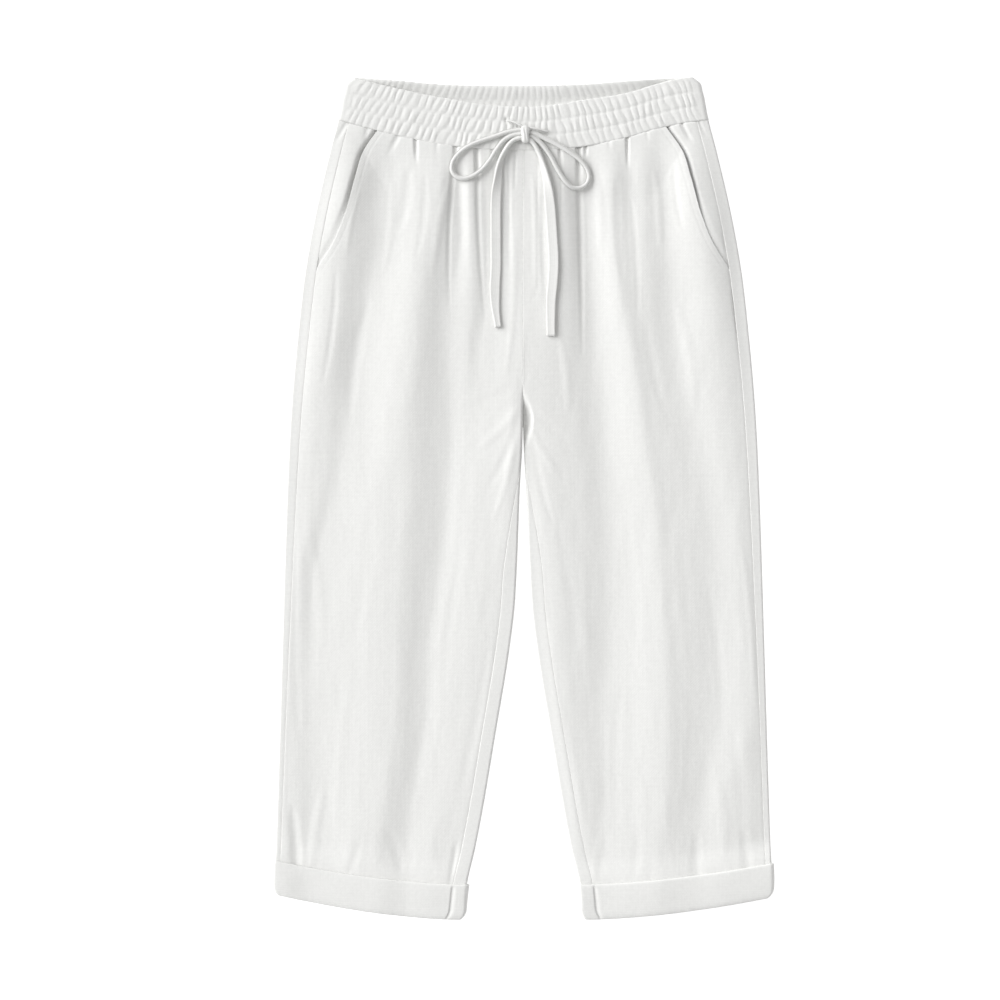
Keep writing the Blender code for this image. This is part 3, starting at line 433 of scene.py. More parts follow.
def girthPoint(side, down, s):
    # s goes round one leg: 0 to 1 up the inner edge, to 2 over the top, to 3 and 4 round the outer edge, to 5
    # underneath and to 6 up to the inner edge again
    s = s % 6
    gap, outer = innerEdge(down), outerEdge(down)
    inX, outX = gap + innerReach(side, down), outer - garment["edge"]
    topIn, topOut = topHeight(side * inX, down), topHeight(side * outX, down)
    underIn, underOut = underHeight(side * inX, down), underHeight(side * outX, down)
    middle, rim = (topIn + underIn) / 2, (topOut + underOut) / 2
    share = hollowShare(side, down)
    middle = middle + (hollow["floor"] - middle) * share
    climb = ease((down - garment["crotch"] + garment["climb"]) / garment["climb"])
    onTop = inX + (outX - inX) * np.clip(s - 1, 0, 1)
    beneath = outX + (inX - outX) * np.clip(s - 4, 0, 1)
    stretches = [
        hollowed(1 - s, share, inX, topIn, gap, topIn + (middle - topIn) * dive(down)),
        (onTop, topHeight(side * onTop, down)),
        quarter(s - 2, outX, topOut, outer, rim),
        quarter(4 - s, outX, underOut, outer, rim),
        (beneath, underHeight(side * beneath, down)),
        quarter(s - 5, inX, underIn, gap, underIn + (middle - underIn) * climb),
    ]
    choose = [s < 1, s < 2, s < 3, s < 4, s < 5]
    x = np.select(choose, [stretch[0] for stretch in stretches[:5]], stretches[5][0])
    z = np.select(choose, [stretch[1] for stretch in stretches[:5]], stretches[5][1])
    return x, z


def innerArc(side, down):  # length of the rolled inner edge, from its middle to the top
    return innerReach(side, down) + garment["diveLength"] * dive(down)


def topWidth(side, down):
    return outerEdge(down) - innerEdge(down) - garment["edge"] - innerReach(side, down)


def placeAt(side, down, length):  # s at this length from the middle of the inner edge, over the top
    arc = innerArc(side, down)
    return np.where(length < arc, length / arc, 1 + (length - arc) / topWidth(side, down))


def lengthAt(side, down, place):  # the length at s
    arc = innerArc(side, down)
    return np.where(place < 1, place * arc, arc + (place - 1) * topWidth(side, down))


def inseamLength(side, down):
    up = ease((down - garment["crotch"]) / (garment["inseamUp"] - garment["crotch"]))
    return (innerArc(side, down) + garment["inseamInset"]) * up


def lengthAcross(side, down, x):  # the length at this distance from the centre
    return innerArc(side, down) + x - innerEdge(down) - innerReach(side, down)


def sideSeamAcross(down):
    low = ease((down - pocket["end"]) / garment["sideRun"])
    return outerEdge(down) - garment["sideInset"] - (garment["sideInsetLow"] - garment["sideInset"]) * low


def toWorld(x, down, z):
    return np.stack([x * mm, (garment["outseam"] / 2 - down) * mm, z * mm], axis=-1)


view = {"centreX": -22.5, "centreY": -1.6, "height": 4.0, "frameWidth": 979.0, "lens": 100.0, "sensor": 36.0}


def lookDown():
    camera = bpy.data.cameras.new("camera")
    camera.lens = view["lens"]
    camera.sensor_width = view["sensor"]
    above = (view["height"] + view["frameWidth"] * view["lens"] / view["sensor"]) * mm
    camera.clip_start, camera.clip_end = 0.1, 20.0
    body = bpy.data.objects.new("camera", camera)
    body.location = (view["centreX"] * mm, view["centreY"] * mm, above)
    bpy.context.scene.collection.objects.link(body)
    bpy.context.scene.camera = body


lookDown()
print("camera placed")


def linear(hexColour):  # sRGB hex to linear
    channels = [int(hexColour[i : i + 2], 16) / 255 for i in (1, 3, 5)]
    return [c / 12.92 if c <= 0.04045 else ((c + 0.055) / 1.055) ** 2.4 for c in channels] + [1.0]


def addNode(tree, kind, settings=None, links=None):
    node = tree.nodes.new(kind)
    for name, value in (settings or {}).items():
        if isinstance(name, str) and hasattr(node, name):
            setattr(node, name, value)
        else:
            node.inputs[name].default_value = value
    for name, source in (links or {}).items():
        tree.links.new(source, node.inputs[name])
    return node


linenLook = {
    "white": "#E6E6E4",
    "turnUpWhite": "#E8E8E6",
    # a little darker than the cloth's white: painted shade that holds down the tape's rounded edges where
    # they face the light
    "tapeShadedWhite": "#DFDFDD",
    "tapeWeave": 0.7,  # how much flatter its weave is
    "darkest": 0.86,  # of the colour, between threads: painted shade in the hollows of the weave
    "lightest": 1.05,  # of the colour, on their crests: painted highlight
    "contrast": 5.5,
    "thread": 1.3,  # mm between threads; real ones are 0.6 mm apart, too fine to show from this far
    "slubLength": 38.0,  # mm, how far a thick stretch of a thread runs
    "slubWide": 1.5,  # mm
    "mottle": 260.0,  # blotches a metre
    "bump": 0.25,
    "relief": 0.25,  # mm
    "roughness": 0.88,
    "bloom": 0.04,
}


def linenMaterial(name, colour, weave=1.0):
    # Bleached linen, plain woven from flax yarn of uneven thickness: a fine cross-hatch with slubs both
    # ways, dull, with a faint bloom of loose fibre at a grazing angle.
    material = bpy.data.materials.new(name)
    material.use_nodes = True
    tree = material.node_tree
    shader = tree.nodes["Principled BSDF"]

    place = addNode(tree, "ShaderNodeUVMap", {"uv_map": "grain"}).outputs[0]
    threads = 1000.0 / linenLook["thread"]
    scaled = {"Scale": (threads, threads, 1)}
    counted = addNode(tree, "ShaderNodeMapping", scaled, {"Vector": place}).outputs[0]
    parts = addNode(tree, "ShaderNodeSeparateXYZ", None, {0: counted})
    across, along = 1000 / linenLook["slubWide"], 1000 / linenLook["slubLength"]
    heights = []
    for axis, scale in enumerate([(across, along, 1), (along, across, 1)]):  # threads one way, then the other
        halfTurns = {"operation": "MULTIPLY", 1: math.pi}
        angle = addNode(tree, "ShaderNodeMath", halfTurns, {0: parts.outputs[axis]})
        wave = addNode(tree, "ShaderNodeMath", {"operation": "SINE"}, {0: angle.outputs[0]})
        high = addNode(tree, "ShaderNodeMath", {"operation": "ABSOLUTE"}, {0: wave.outputs[0]})
        drawn = addNode(tree, "ShaderNodeMapping", {"Scale": scale}, {"Vector": place})
        uneven = {"Scale": 1.0, "Detail": 1.0}
        slub = addNode(tree, "ShaderNodeTexNoise", uneven, {"Vector": drawn.outputs[0]})
        weight = {"operation": "MULTIPLY_ADD", 1: 1.5, 2: 0.15}
        heavy = addNode(tree, "ShaderNodeMath", weight, {0: slub.outputs["Fac"]})
        both = {0: high.outputs[0], 1: heavy.outputs[0]}
        heights.append(addNode(tree, "ShaderNodeMath", {"operation": "MULTIPLY"}, both).outputs[0])
    over = addNode(tree, "ShaderNodeTexChecker", {"Scale": 1.0}, {"Vector": counted})
    crossed = {0: over.outputs["Fac"], 2: heights[0], 3: heights[1]}
    woven = addNode(tree, "ShaderNodeMix", {"data_type": "FLOAT"}, crossed).outputs[0]
    blotches = {"Scale": linenLook["mottle"], "Detail": 3.0}
    mottle = addNode(tree, "ShaderNodeTexNoise", blotches, {"Vector": place}).outputs["Fac"]
    # the weave's height sets the tone too, darker between threads and lighter on their crests, which is
    # painted shade and highlight; the slubs and the blotches are the linen's own uneven tone
    shade = addNode(tree, "ShaderNodeMath", {"operation": "MULTIPLY_ADD", 1: 0.07, 2: 0.0}, {0: woven})
    spots = {0: mottle, 2: shade.outputs[0]}
    spotted = addNode(tree, "ShaderNodeMath", {"operation": "MULTIPLY_ADD", 1: 0.10}, spots)
    stretched = {"operation": "MULTIPLY_ADD", 1: linenLook["contrast"], 2: 0.12, "use_clamp": True}
    share = addNode(tree, "ShaderNodeMath", stretched, {0: spotted.outputs[0]})
    white = linear(colour)[:3]
    tone = addNode(tree, "ShaderNodeMix", {"data_type": "RGBA"})
    tone.inputs[6].default_value = [c * linenLook["darkest"] for c in white] + [1.0]
    tone.inputs[7].default_value = [min(c * linenLook["lightest"], 1.0) for c in white] + [1.0]
    tree.links.new(share.outputs[0], tone.inputs[0])
    tree.links.new(tone.outputs[2], shader.inputs["Base Color"])
    depth = {"Strength": linenLook["bump"] * weave, "Distance": linenLook["relief"] * mm}
    raised = addNode(tree, "ShaderNodeBump", depth, {"Height": woven})
    tree.links.new(raised.outputs[0], shader.inputs["Normal"])
    shader.inputs["Roughness"].default_value = linenLook["roughness"]
    shader.inputs["Specular IOR Level"].default_value = 0.3
    shader.inputs["Sheen Weight"].default_value = linenLook["bloom"]
    shader.inputs["Sheen Roughness"].default_value = 0.5
    return material


linen = linenMaterial("bleachedLinen", linenLook["white"])
linenBand = linenMaterial("gatheredLinen", linenLook["white"])
linenTurnUp = linenMaterial("doubledLinen", linenLook["turnUpWhite"])
# the tape's linen, a shade darker than the cloth: painted shade on its lit rounded edges
linenTape = linenMaterial("linenTape", linenLook["tapeShadedWhite"], linenLook["tapeWeave"])
print("materials made")


def gridBody(name, points, grain, material, wrapRows=False, wrapColumns=False, flip=False):
    # points has rows and columns in metres, and grain the cloth's own flat place of each, in metres too
    rows, columns = points.shape[:2]
    index = np.arange(rows * columns).reshape(rows, columns)
    r = np.arange(rows if wrapRows else rows - 1)
    c = np.arange(columns if wrapColumns else columns - 1)
    a = index[np.ix_(r, c)]
    b = index[np.ix_((r + 1) % rows, c)]
    d = index[np.ix_((r + 1) % rows, (c + 1) % columns)]
    e = index[np.ix_(r, (c + 1) % columns)]
    faces = np.stack([a, e, d, b] if flip else [a, b, d, e], axis=-1).reshape(-1, 4)
    return bodyFrom(name, points.reshape(-1, 3), faces, grain.reshape(-1, 2), material)


def bodyFrom(name, points, faces, grain, material):
    points[:, 2] = np.maximum(points[:, 2], 0.0)  # nothing sinks into the table
    mesh = bpy.data.meshes.new(name)
    mesh.vertices.add(len(points))
    mesh.vertices.foreach_set("co", np.ascontiguousarray(points, np.float32).ravel())
    mesh.loops.add(len(faces) * 4)
    mesh.loops.foreach_set("vertex_index", np.ascontiguousarray(faces, np.int32).ravel())
    mesh.polygons.add(len(faces))
    mesh.polygons.foreach_set("loop_start", np.arange(0, len(faces) * 4, 4, dtype=np.int32))
    mesh.update(calc_edges=True)
    layer = mesh.uv_layers.new(name="grain")
    layer.data.foreach_set("uv", np.ascontiguousarray(grain[faces.ravel()], np.float32).ravel())
    mesh.validate()
    mesh.shade_smooth()
    mesh.materials.append(material)
    body = bpy.data.objects.new(name, mesh)
    bpy.context.scene.collection.objects.link(body)
    return body


def squareTo(points, side):  # unit normals of a grid, outwards
    downwards = np.gradient(points, axis=0)
    across = np.gradient(points, axis=1)
    normal = np.cross(downwards, across) * side
    return normal / np.maximum(np.linalg.norm(normal, axis=-1, keepdims=True), 1e-12)


def clothWall(name, points, side, relief, across, down):
    # raises the grid by its relief and closes it with an inner face, set in by the cloth's thickness
    points = points + squareTo(points, side) * relief[..., None] * mm
    inner = points - squareTo(points, side) * garment["cloth"] * mm
    rows, columns = points.shape[:2]
    total = rows * columns
    index = np.arange(total).reshape(rows, columns)
    a, b = index[:-1, :-1], index[1:, :-1]
    d, e = index[1:, 1:], index[:-1, 1:]
    outerFaces = np.stack([a, b, d, e] if side > 0 else [a, e, d, b], axis=-1).reshape(-1, 4)
    innerFaces = outerFaces[:, ::-1] + total
    rim = np.concatenate([index[:-1, 0], index[-1, :-1], index[:0:-1, -1], index[0, :0:-1]])
    after = np.roll(rim, -1)
    edge = [after, rim, rim + total, after + total] if side > 0 else [rim, after, after + total, rim + total]
    faces = np.concatenate([outerFaces, innerFaces, np.stack(edge, axis=-1)])
    both = np.concatenate([points.reshape(-1, 3), inner.reshape(-1, 3)])
    grain = np.stack([across * mm, down * mm], axis=-1).reshape(-1, 2)
    return bodyFrom(name, both, faces, np.concatenate([grain, grain]), linen)


def lengthsOver(points):  # of each row of a grid, from its first column
    steps = np.linalg.norm(np.diff(points, axis=1, prepend=points[:, :1]), axis=-1)
    return np.cumsum(steps, axis=1) / mm


seams = {  # how far the cloth dips into them
    "dip": 0.3,
    "under": 0.05,  # on the side that lies underneath
    "reach": 1.3,
    "centreDip": 0.12,
    "sideDip": 0.8,  # what is added along the dark stretch of the right side seam
    "sideAt": 232.0,
    "sideLength": 60.0,
    "waistDip": 0.35,
    "waistReach": 1.5,
    "flatFor": 5.0,  # beside a seam, where creases fade out
}


def sewnEdge(distance, depth, reach):  # the dip of a panel into a seam
    return -depth * np.exp(-((np.maximum(distance, 0.0) / reach) ** 1.3))


def sideSewn(distance, facesRight, depth=seams["dip"]):  # the edge that faces right is the one that dips
    return sewnEdge(distance, depth if facesRight else seams["under"], seams["reach"])


def waistSewn(x, down):
    return sewnEdge(down - seamDown(x), seams["waistDip"], seams["waistReach"])


def rowShares(count, top, bottom):
    # shares of the way down, closer together under the waist and over the hem
    t = np.linspace(0.0, 1.0, 400)
    density = 1 + top * np.exp(-((t / 0.10) ** 2)) + bottom * np.exp(-(((1 - t) / 0.06) ** 2))
    total = np.concatenate([[0.0], np.cumsum((density[1:] + density[:-1]) / 2)])
    return np.interp(np.linspace(0.0, 1.0, count), total / total[-1], t)


def settle(rows, columns, side, placesAt, downAt, rounds=4, firstGuess=400.0):
    # finds the grid's places: placesAt(down) round the leg and downAt(x, place) down it
    down = np.full((rows, columns), firstGuess)
    for _ in range(rounds):
        place = placesAt(down)
        x, z = girthPoint(side, down, place)
        down = downAt(side * x, place)
    place = placesAt(down)
    x, z = girthPoint(side, down, place)
    return x, z, down, place


def legEnd(x):
    return hemDown(x) - garment["turnUp"] + garment["legInTurnUp"]


def wrinkles(x, down):
    sizes = [(0.17, 21, 70, 3), (0.10, 9, 26, 5), (0.05, 4, 7, 8)]  # height, width, length and seed
    return sum(high * lumps(x, down, wide, long, seed) for high, wide, long, seed in sizes)


def flyLine(down):  # the mock fly's stitching, straight and then round towards the centre seam
    turn = np.clip((down - stitching["flyDown"]) / (stitching["flyEnd"] - stitching["flyDown"]), 0.0, 1.0)
    return stitching["flyAcross"] * np.sqrt(1 - turn**2)


def stitchDip(x, down):  # the cloth drawn in under a row of stitches
    offPocket = (pocketIn(x, down) - stitching["pocketIn"]) / stitching["pocketDipWide"]
    offFly = (x - flyLine(down)) / stitching["flyDipWide"]
    onPocket = down < pocket["end"]
    onFly = (x > -1.0) & (down < stitching["flyEnd"])
    atPocket = stitching["pocketDip"] * np.exp(-(offPocket**2)) * onPocket
    return -atPocket - stitching["flyDip"] * np.exp(-(offFly**2)) * onFly


panels = {"frontRows": 240, "frontColumns": 156, "backRows": 200, "facingRows": 70, "facingColumns": 26}
backColumns = (14, 16, 30, 26)  # on the top, round the outer edge, underneath and up the inner edge
besideSeam = np.array([0.0, 0.4, 0.9, 1.6, 2.6])  # the closer columns along a front panel's long seams
besideEnd = 3.8


def frontPanel(side, name):
    shares = rowShares(panels["frontRows"], 2.2, 0.8)[:, None]
    near = len(besideSeam)

    def bounds(down):
        sideSeam = lengthAcross(side, down, sideSeamAcross(down))
        slant = np.minimum(lengthAcross(side, down, pocketAcross(down)), sideSeam)
        return inseamLength(side, down), np.where(down < pocket["end"], slant, sideSeam)

    def placesAt(down):
        start, stop = bounds(down)
        inner = np.linspace(0.0, 1.0, panels["frontColumns"])
        length = (stop - start)[:, near:-near] - 2 * besideEnd
        middle = start[:, near:-near] + besideEnd + length * inner
        ends = start[:, :near] + besideSeam, stop[:, -near:] - besideSeam[::-1]
        return placeAt(side, down, np.concatenate([ends[0], middle, ends[1]], axis=1))

    def downAt(x, place):
        waistSeam = seamDown(x)
        return waistSeam + shares * (legEnd(x) - waistSeam)

    columns = panels["frontColumns"] + 2 * near
    x, z, down, place = settle(panels["frontRows"], columns, side, placesAt, downAt)
    across = side * x
    start, stop = bounds(down)
    lengths = lengthAt(side, down, place)
    atPocket = down < pocket["end"]
    fromInner = ease((lengths - start) / seams["flatFor"])
    fromOuter = ease((stop - lengths) / seams["flatFor"])
    loose = fromInner * np.where(atPocket, 1.0, fromOuter)
    innerDip = np.where(down < garment["rise"], seams["centreDip"], seams["dip"])
    sideDip = seams["dip"] + seams["sideDip"] * bump((down - seams["sideAt"]) / seams["sideLength"])
    relief = (wrinkles(across, down) + creaseLift(across, down)) * loose
    relief = relief + sideSewn(lengths - start, side < 0, innerDip)
    relief = relief + np.where(atPocket, 0.0, sideSewn(stop - lengths, side > 0, sideDip))
    relief = relief + waistSewn(across, down) + stitchDip(across, down)
    points = toWorld(across, down, z + pocketGape(across, down))
    return clothWall(name, points, side, relief, across, down)


def innerPlace(side, down, share):  # from the heel of the inner edge, up round it to the inseam
    heel = innerReach(side, down)
    length = (heel + inseamLength(side, down)) * share
    return np.where(length < heel, 5 + length / heel, 6 + placeAt(side, down, np.maximum(length - heel, 0.0)))


def backPanel(side, name):
    shares = rowShares(panels["backRows"], 1.5, 0.8)[:, None]
    top, edge, under, inner = (np.linspace(0, 1, count)[None, :] for count in backColumns)

    def placesAt(down):
        start = placeAt(side, down, lengthAcross(side, down, sideSeamAcross(down)))[:, :1]
        last = innerPlace(side, down[:, 1 - inner.size:], inner[:, 1:])
        stretches = [
            start + (2 - start) * top, 2 + 2 * edge[:, 1:] + 0 * start, 4 + under[:, 1:] + 0 * start, last,
        ]
        return np.concatenate(stretches, axis=1)

    def downAt(x, place):
        waistSeam = seamDown(x, np.clip((place - 2) / 2, 0.0, 1.0))
        return waistSeam + shares * (legEnd(x) - waistSeam)

    columns = sum(backColumns) - 3
    x, z, down, place = settle(panels["backRows"], columns, side, placesAt, downAt)
    points = toWorld(side * x, down, z)
    lengths = lengthsOver(points)
    left = lengths[:, -1:] - lengths
    beneath = (place > 4) & (place < 5)
    dips = sideSewn(lengths, side < 0) + sideSewn(left, side > 0)
    return clothWall(name, points, side, np.where(beneath & (left > 3), 0.0, dips), lengths, down)


def pocketFacing(side, name):
    share = np.linspace(0, 1, panels["facingRows"])[:, None]
    evenColumns = np.linspace(0, 1, panels["facingColumns"])[None, :]
    inward = 1 - (1 - evenColumns) ** 1.6  # closer together at the seam

    def placesAt(down):
        start = lengthAcross(side, down, pocketAcross(down) - pocket["facingReach"])[:, :1]
        stop = lengthAcross(side, down, sideSeamAcross(down))[:, -1:]
        return placeAt(side, down, start + (stop - start) * inward)

    def downAt(x, place):
        waistSeam = seamDown(x)
        return waistSeam + share * (pocket["facingEnd"] - waistSeam)

    x, z, down, place = settle(panels["facingRows"], panels["facingColumns"], side, placesAt, downAt)
    across = side * x
    points = toWorld(across, down, z - facingSink(x, down))
    lengths = lengthsOver(points)
    relief = sideSewn(lengths[:, -1:] - lengths, side > 0) + waistSewn(across, down)
    relief = relief + wrinkles(across, down) + creaseLift(across, down)
    return clothWall(name, points, side, relief, across, down)


cloth = {}
for side, word in ((-1, "left"), (1, "right")):
    cloth[f"front_{word}"] = frontPanel(side, f"front_{word}_linen")
    cloth[f"back_{word}"] = backPanel(side, f"back_{word}_linen")
    cloth[f"pocket_facing_{word}"] = pocketFacing(side, f"pocket_facing_{word}_linen")
print("panels made")


band = {
    "top": 6.8,
    "wall": 3.0,
    "corner": 4.5,
    "cornerInside": 0.6,
    "floor": 1.4,  # inner face of its back over the table
    "floorSlope": 3.4,  # how much higher it is along its top edge, where the front leaves it free
    "floorSlopeOver": 9.0,
    "pitch": 7.2,  # between gathers
    "ribHeight": 1.1,
    "ribHeightInside": 0.8,
    "ribFades": 10.0,  # from the side edges
    "scallop": 0.9,  # how far a gather lifts the top edge
    "scallopDepth": 2.5,
    "lean": 0.46,  # how much the gathers fan out towards the sides
    "leanOver": 48.0,
    "stagger": 0.28,  # share of the pitch that they shift by from row to row
    "groove": 0.3,
    "grooveWide": 0.8,
    "topLip": 0.8,  # how far its edges round out
    "bottomLip": 0.5,
    "fullness": 1.7,  # of the cloth gathered into it
    "columns": (529, 9, 353),  # front, each side edge and back
    "rows": (34, 22),  # outside and inside
}
stitchRows = (1 / 3, 2 / 3)  # share of the way down


def ribPhase(x, v):
    fan = band["lean"] * np.tanh(x / band["leanOver"]) * (v - 0.5) * garment["band"]
    steps = ease((v - stitchRows[0]) / 0.10 + 0.5) + ease((v - stitchRows[1]) / 0.10 + 0.5)
    uneven = band["stagger"] * steps + 0.34 * lumps(x, v * 30, 17, 22, 11)
    return (x - fan) / band["pitch"] + uneven + 0.14 * lumps(x, v * 30, 6, 9, 12)


def gather(x, v):  # 0 to 1: round crests, narrow creases, with finer ones between
    row = np.abs(np.sin(3 * math.pi * np.clip(v, 0, 1)))
    phase = ribPhase(x, v)
    crest = np.abs(np.sin(math.pi * phase)) ** 0.7
    fine = np.abs(np.sin(math.pi * (2.3 * phase + 0.3))) ** 0.8
    strength = 0.75 + 0.3 * lumps(x, v * garment["band"], 11, 12, 17)
    share = 0.5 + 0.35 * lumps(x, v * garment["band"], 14, 16, 19)
    return (crest * (1 - 0.3 * share) + 0.3 * share * fine) * strength * (0.45 + 0.55 * row**0.8)


def stitchGroove(v):
    return sum(np.exp(-(((v - row) * garment["band"] / band["grooveWide"]) ** 2)) for row in stitchRows)


Eyelet = namedtuple("Eyelet", "x down wide tall depth")
eyelets = [  # where the drawstring comes out of the casing
    Eyelet(-16.6, 42.6, 1.5, 2.2, 2.2),
    Eyelet(-5.2, 49.0, 1.6, 1.6, 1.6),
    Eyelet(23.0, 55.8, 5.5, 2.3, 1.9),
]


def eyeletDip(x, down):
    dip = 0.0
    for eyelet in eyelets:
        away = ((x - eyelet.x) / eyelet.wide) ** 2 + ((down - eyelet.down) / eyelet.tall) ** 2
        dip = dip + eyelet.depth * np.exp(-away)
    return dip


def bandLoop(v, inside):
    # once round at share v of the height: x, down, z
    front, edge, back = band["columns"]
    half = outerEdge(garment["band"] * v + 1.0) - (band["wall"] + 0.2 if inside else 0.0)
    corner = band["cornerInside"] if inside else band["corner"]
    high = band["top"] - band["wall"] if inside else band["top"]
    t = np.linspace(-1, 1, front)
    turn = np.linspace(0, math.pi, edge + 2)[1:-1]
    u = np.linspace(1, -1, back)
    x = np.concatenate([
        (half - corner) * t, half - corner + corner * np.sin(turn),
        (half - corner) * u, corner - half - corner * np.sin(turn),
    ])
    topFront = through(waist["across"], waist["front"], u * half)
    shows = topFront - through(waist["across"], waist["back"], u * half)
    slope = ease(shows / band["floorSlopeOver"])
    slope = slope * (1 - ease(v * garment["band"] / (0.9 * np.maximum(shows, 0.0) + 1.0)))
    low = band["floor"] + band["floorSlope"] * slope if inside else np.zeros(back)
    rise, middle = (high - low[0]) / 2, (high + low[0]) / 2
    z = np.concatenate([
        np.full(front, high), middle + rise * np.cos(turn), low, middle - rise * np.cos(turn),
    ])
    share = np.concatenate([np.zeros(front), turn / math.pi, np.ones(back), 1 - turn / math.pi])
    frontDown = through(waist["across"], waist["front"], x)
    frontDown = frontDown + (through(waist["across"], waist["seam"], x) - frontDown) * v
    backDown = through(waist["across"], waist["back"], x) + garment["band"] * v
    down = frontDown + (backDown - frontDown) * share
    rib = gather(x, np.full_like(x, v))
    onFront = np.concatenate([np.ones(front), np.zeros(len(x) - front)])
    onBack = np.concatenate([np.zeros(front + edge), np.ones(back), np.zeros(edge)])
    fade = 1 - ease((np.abs(x) - half + corner + band["ribFades"]) / band["ribFades"])
    if inside:
        z = z + onBack * band["ribHeightInside"] * rib * fade
    else:
        raised = fade * (band["ribHeight"] * rib - band["groove"] * stitchGroove(v))
        z = z + onFront * (raised - eyeletDip(x, down))
    nearTop = np.exp(-((v * garment["band"] / band["scallopDepth"]) ** 2))
    return x, down - band["scallop"] * (rib - 0.4) * fade * (onFront + onBack) * nearTop, z


def waistband(name):
    tall, outerRows, innerRows = garment["band"], *band["rows"]
    loops, grains = [], []

    def addLoop(x, down, z, v):
        loops.append(toWorld(x, down, z))
        along = np.concatenate([[0], np.cumsum(np.hypot(np.diff(x), np.diff(z)))])
        grains.append(np.stack([along * band["fullness"] * mm, np.full_like(x, v * mm)], axis=-1))

    def lip(faces, outwards, v, steps):  # round over from one face to the other
        for k in range(1, steps):
            w = k / steps
            mix = [p + (q - p) * (1 - math.cos(math.pi * w)) / 2 for p, q in zip(*faces)]
            narrower = 1 - 0.002 * math.sin(math.pi * w)
            bulge = outwards * math.sin(math.pi * w)
            addLoop(mix[0] * narrower, mix[1] + bulge, mix[2], v + math.copysign(3 * w, outwards))

    for v in np.linspace(0.0, 1.0, outerRows):
        addLoop(*bandLoop(v, False), v * tall)
    lip((bandLoop(1.0, False), bandLoop(1.0, True)), band["bottomLip"], tall, 6)
    for v in np.linspace(1.0, 0.0, innerRows):
        addLoop(*bandLoop(v, True), 90 - v * tall)
    lip((bandLoop(0.0, True), bandLoop(0.0, False)), -band["topLip"], 0, 8)
    return gridBody(name, np.array(loops), np.array(grains), linenBand, True, True)


cloth["waistband"] = waistband("waistband_linen")
print("waistband made")


turnUpLook = {
    "under": 0.35,  # how far its inner layer lies outside the leg
    "inside": -1.3,  # and the layer that turns in under the hem
    "insideFrom": 24.3,
    "seamAt": 69.0,  # from the centre to its seam
    "seamSlant": 0.1,  # how it runs outwards on the way down
    "seamDepth": 0.9,
    "rounding": 0.05,  # how much narrower it is at its foot
    "roundedFrom": 24.0,
    "lumps": 0.35,
}
turnUpColumns = [(1, 4), (1.03, 38), (1.14, 74), (2, 16), (4, 60), (5, 16)]  # where each starts, its columns


def turnUpSection():  # drop from its top edge and distance out from the leg, round from the inner layer
    full, under, inside = garment["turnUpCloth"] + 0.3, turnUpLook["under"], turnUpLook["inside"]
    section = [(1.2, under), (0.35, 0.8), (0.0, 1.4), (0.3, 2.1), (1.2, full)]
    for drop in np.linspace(3.0, 29.0, 14):  # barrel-shaped
        section.append((drop, full - 1.1 * (max(drop - 7.0, 0.0) / 22.0) ** 1.6))
    section += [(31.0, 1.2), (32.8, 0.8), (34.0, 0.3), (34.8, -0.2), (34.7, -0.8)]
    section += [(drop, inside) for drop in (33.8, 30.0, 27.0, turnUpLook["insideFrom"])]
    section += [(turnUpLook["insideFrom"], under)]
    section += [(drop, under) for drop in np.linspace(20.0, 4.0, 5)]
    return np.array(section)


def turnUp(side, name):
    section = turnUpSection()
    drop, out = section[:, :1], section[:, 1:]
    starts = [start for start, count in turnUpColumns] + [7]
    around = np.concatenate([
        np.linspace(start, stop, count)[:-1] for (start, count), stop in zip(turnUpColumns, starts[1:])
    ])
    s = around[None, :] + 0 * drop
    down = garment["outseam"] - garment["turnUp"] + drop + 0 * s
    for _ in range(5):
        x, z = girthPoint(side, down, s)
        down = hemDown(side * x) - garment["turnUp"] + drop
    x, z = girthPoint(side, down, s)
    step = 0.02
    aheadX, aheadZ = girthPoint(side, down, s + step)
    behindX, behindZ = girthPoint(side, down, s - step)
    along = np.stack([aheadX - behindX, aheadZ - behindZ], axis=-1)
    along = along / np.linalg.norm(along, axis=-1, keepdims=True)
    outX, outZ = -along[..., 1], along[..., 0]
    roundedFrom = turnUpLook["roundedFrom"]
    below = np.maximum(drop - roundedFrom, 0.0) / (garment["turnUp"] - roundedFrom)
    rounding = 1 - turnUpLook["rounding"] * below**2
    middle = (garment["hemOut"] + garment["hemIn"]) / 2
    onOuter = ease((out - 1.0) / 1.2)
    out = out + onOuter * turnUpLook["lumps"] * lumps(x, down, 26, 22, 23) * (z > 3)
    onTop = (s > 1) & (s < 2) & (drop < 34.0) & (out > 0.5)
    away = side * (x - turnUpLook["seamAt"] - turnUpLook["seamSlant"] * drop)
    groove = np.exp(-((away / np.where(away < 0, 0.8, 2.6)) ** 2))  # steep on its left, gentle on its right
    x = middle + (x + outX * out - middle) * rounding
    z = z + outZ * out - turnUpLook["seamDepth"] * groove * onTop * ease((drop - 1.0) / 3.0)
    points = toWorld(side * x, down, z)
    grain = np.stack([side * x * mm + 0 * s, (down + out * 3) * mm], axis=-1)
    return gridBody(name, points, grain, linenTurnUp, True, True, flip=side < 0)


for side, word in ((-1, "left"), (1, "right")):
    cloth[f"turn_up_{word}"] = turnUp(side, f"turn_up_{word}_linen")
print("turn-ups made")


tape = {
    "width": 10.2,
    "thick": 2.0,
    "folded": 4.4,  # its width where it comes out of the knot
    "bunched": 2.6,  # how much thicker it is there
    "unfolded": 0.36,  # share of a free end by which it has opened out
    "leftTip": (0.8, 3.6, 0.5),  # from this share on it narrows and cups by this much
    "rightTip": (0.75, 1.8, 0.0),
    "loopWidth": 3.0,
    "loopThick": 4.6,
    "loopSolid": 4.6,  # height of the part's own loop, whose lower edge this one keeps
    "strand": 2.0,
    "strandSolid": 2.4,
    "fuller": 0.18,  # share by which its folded edges are thicker than its middle
}

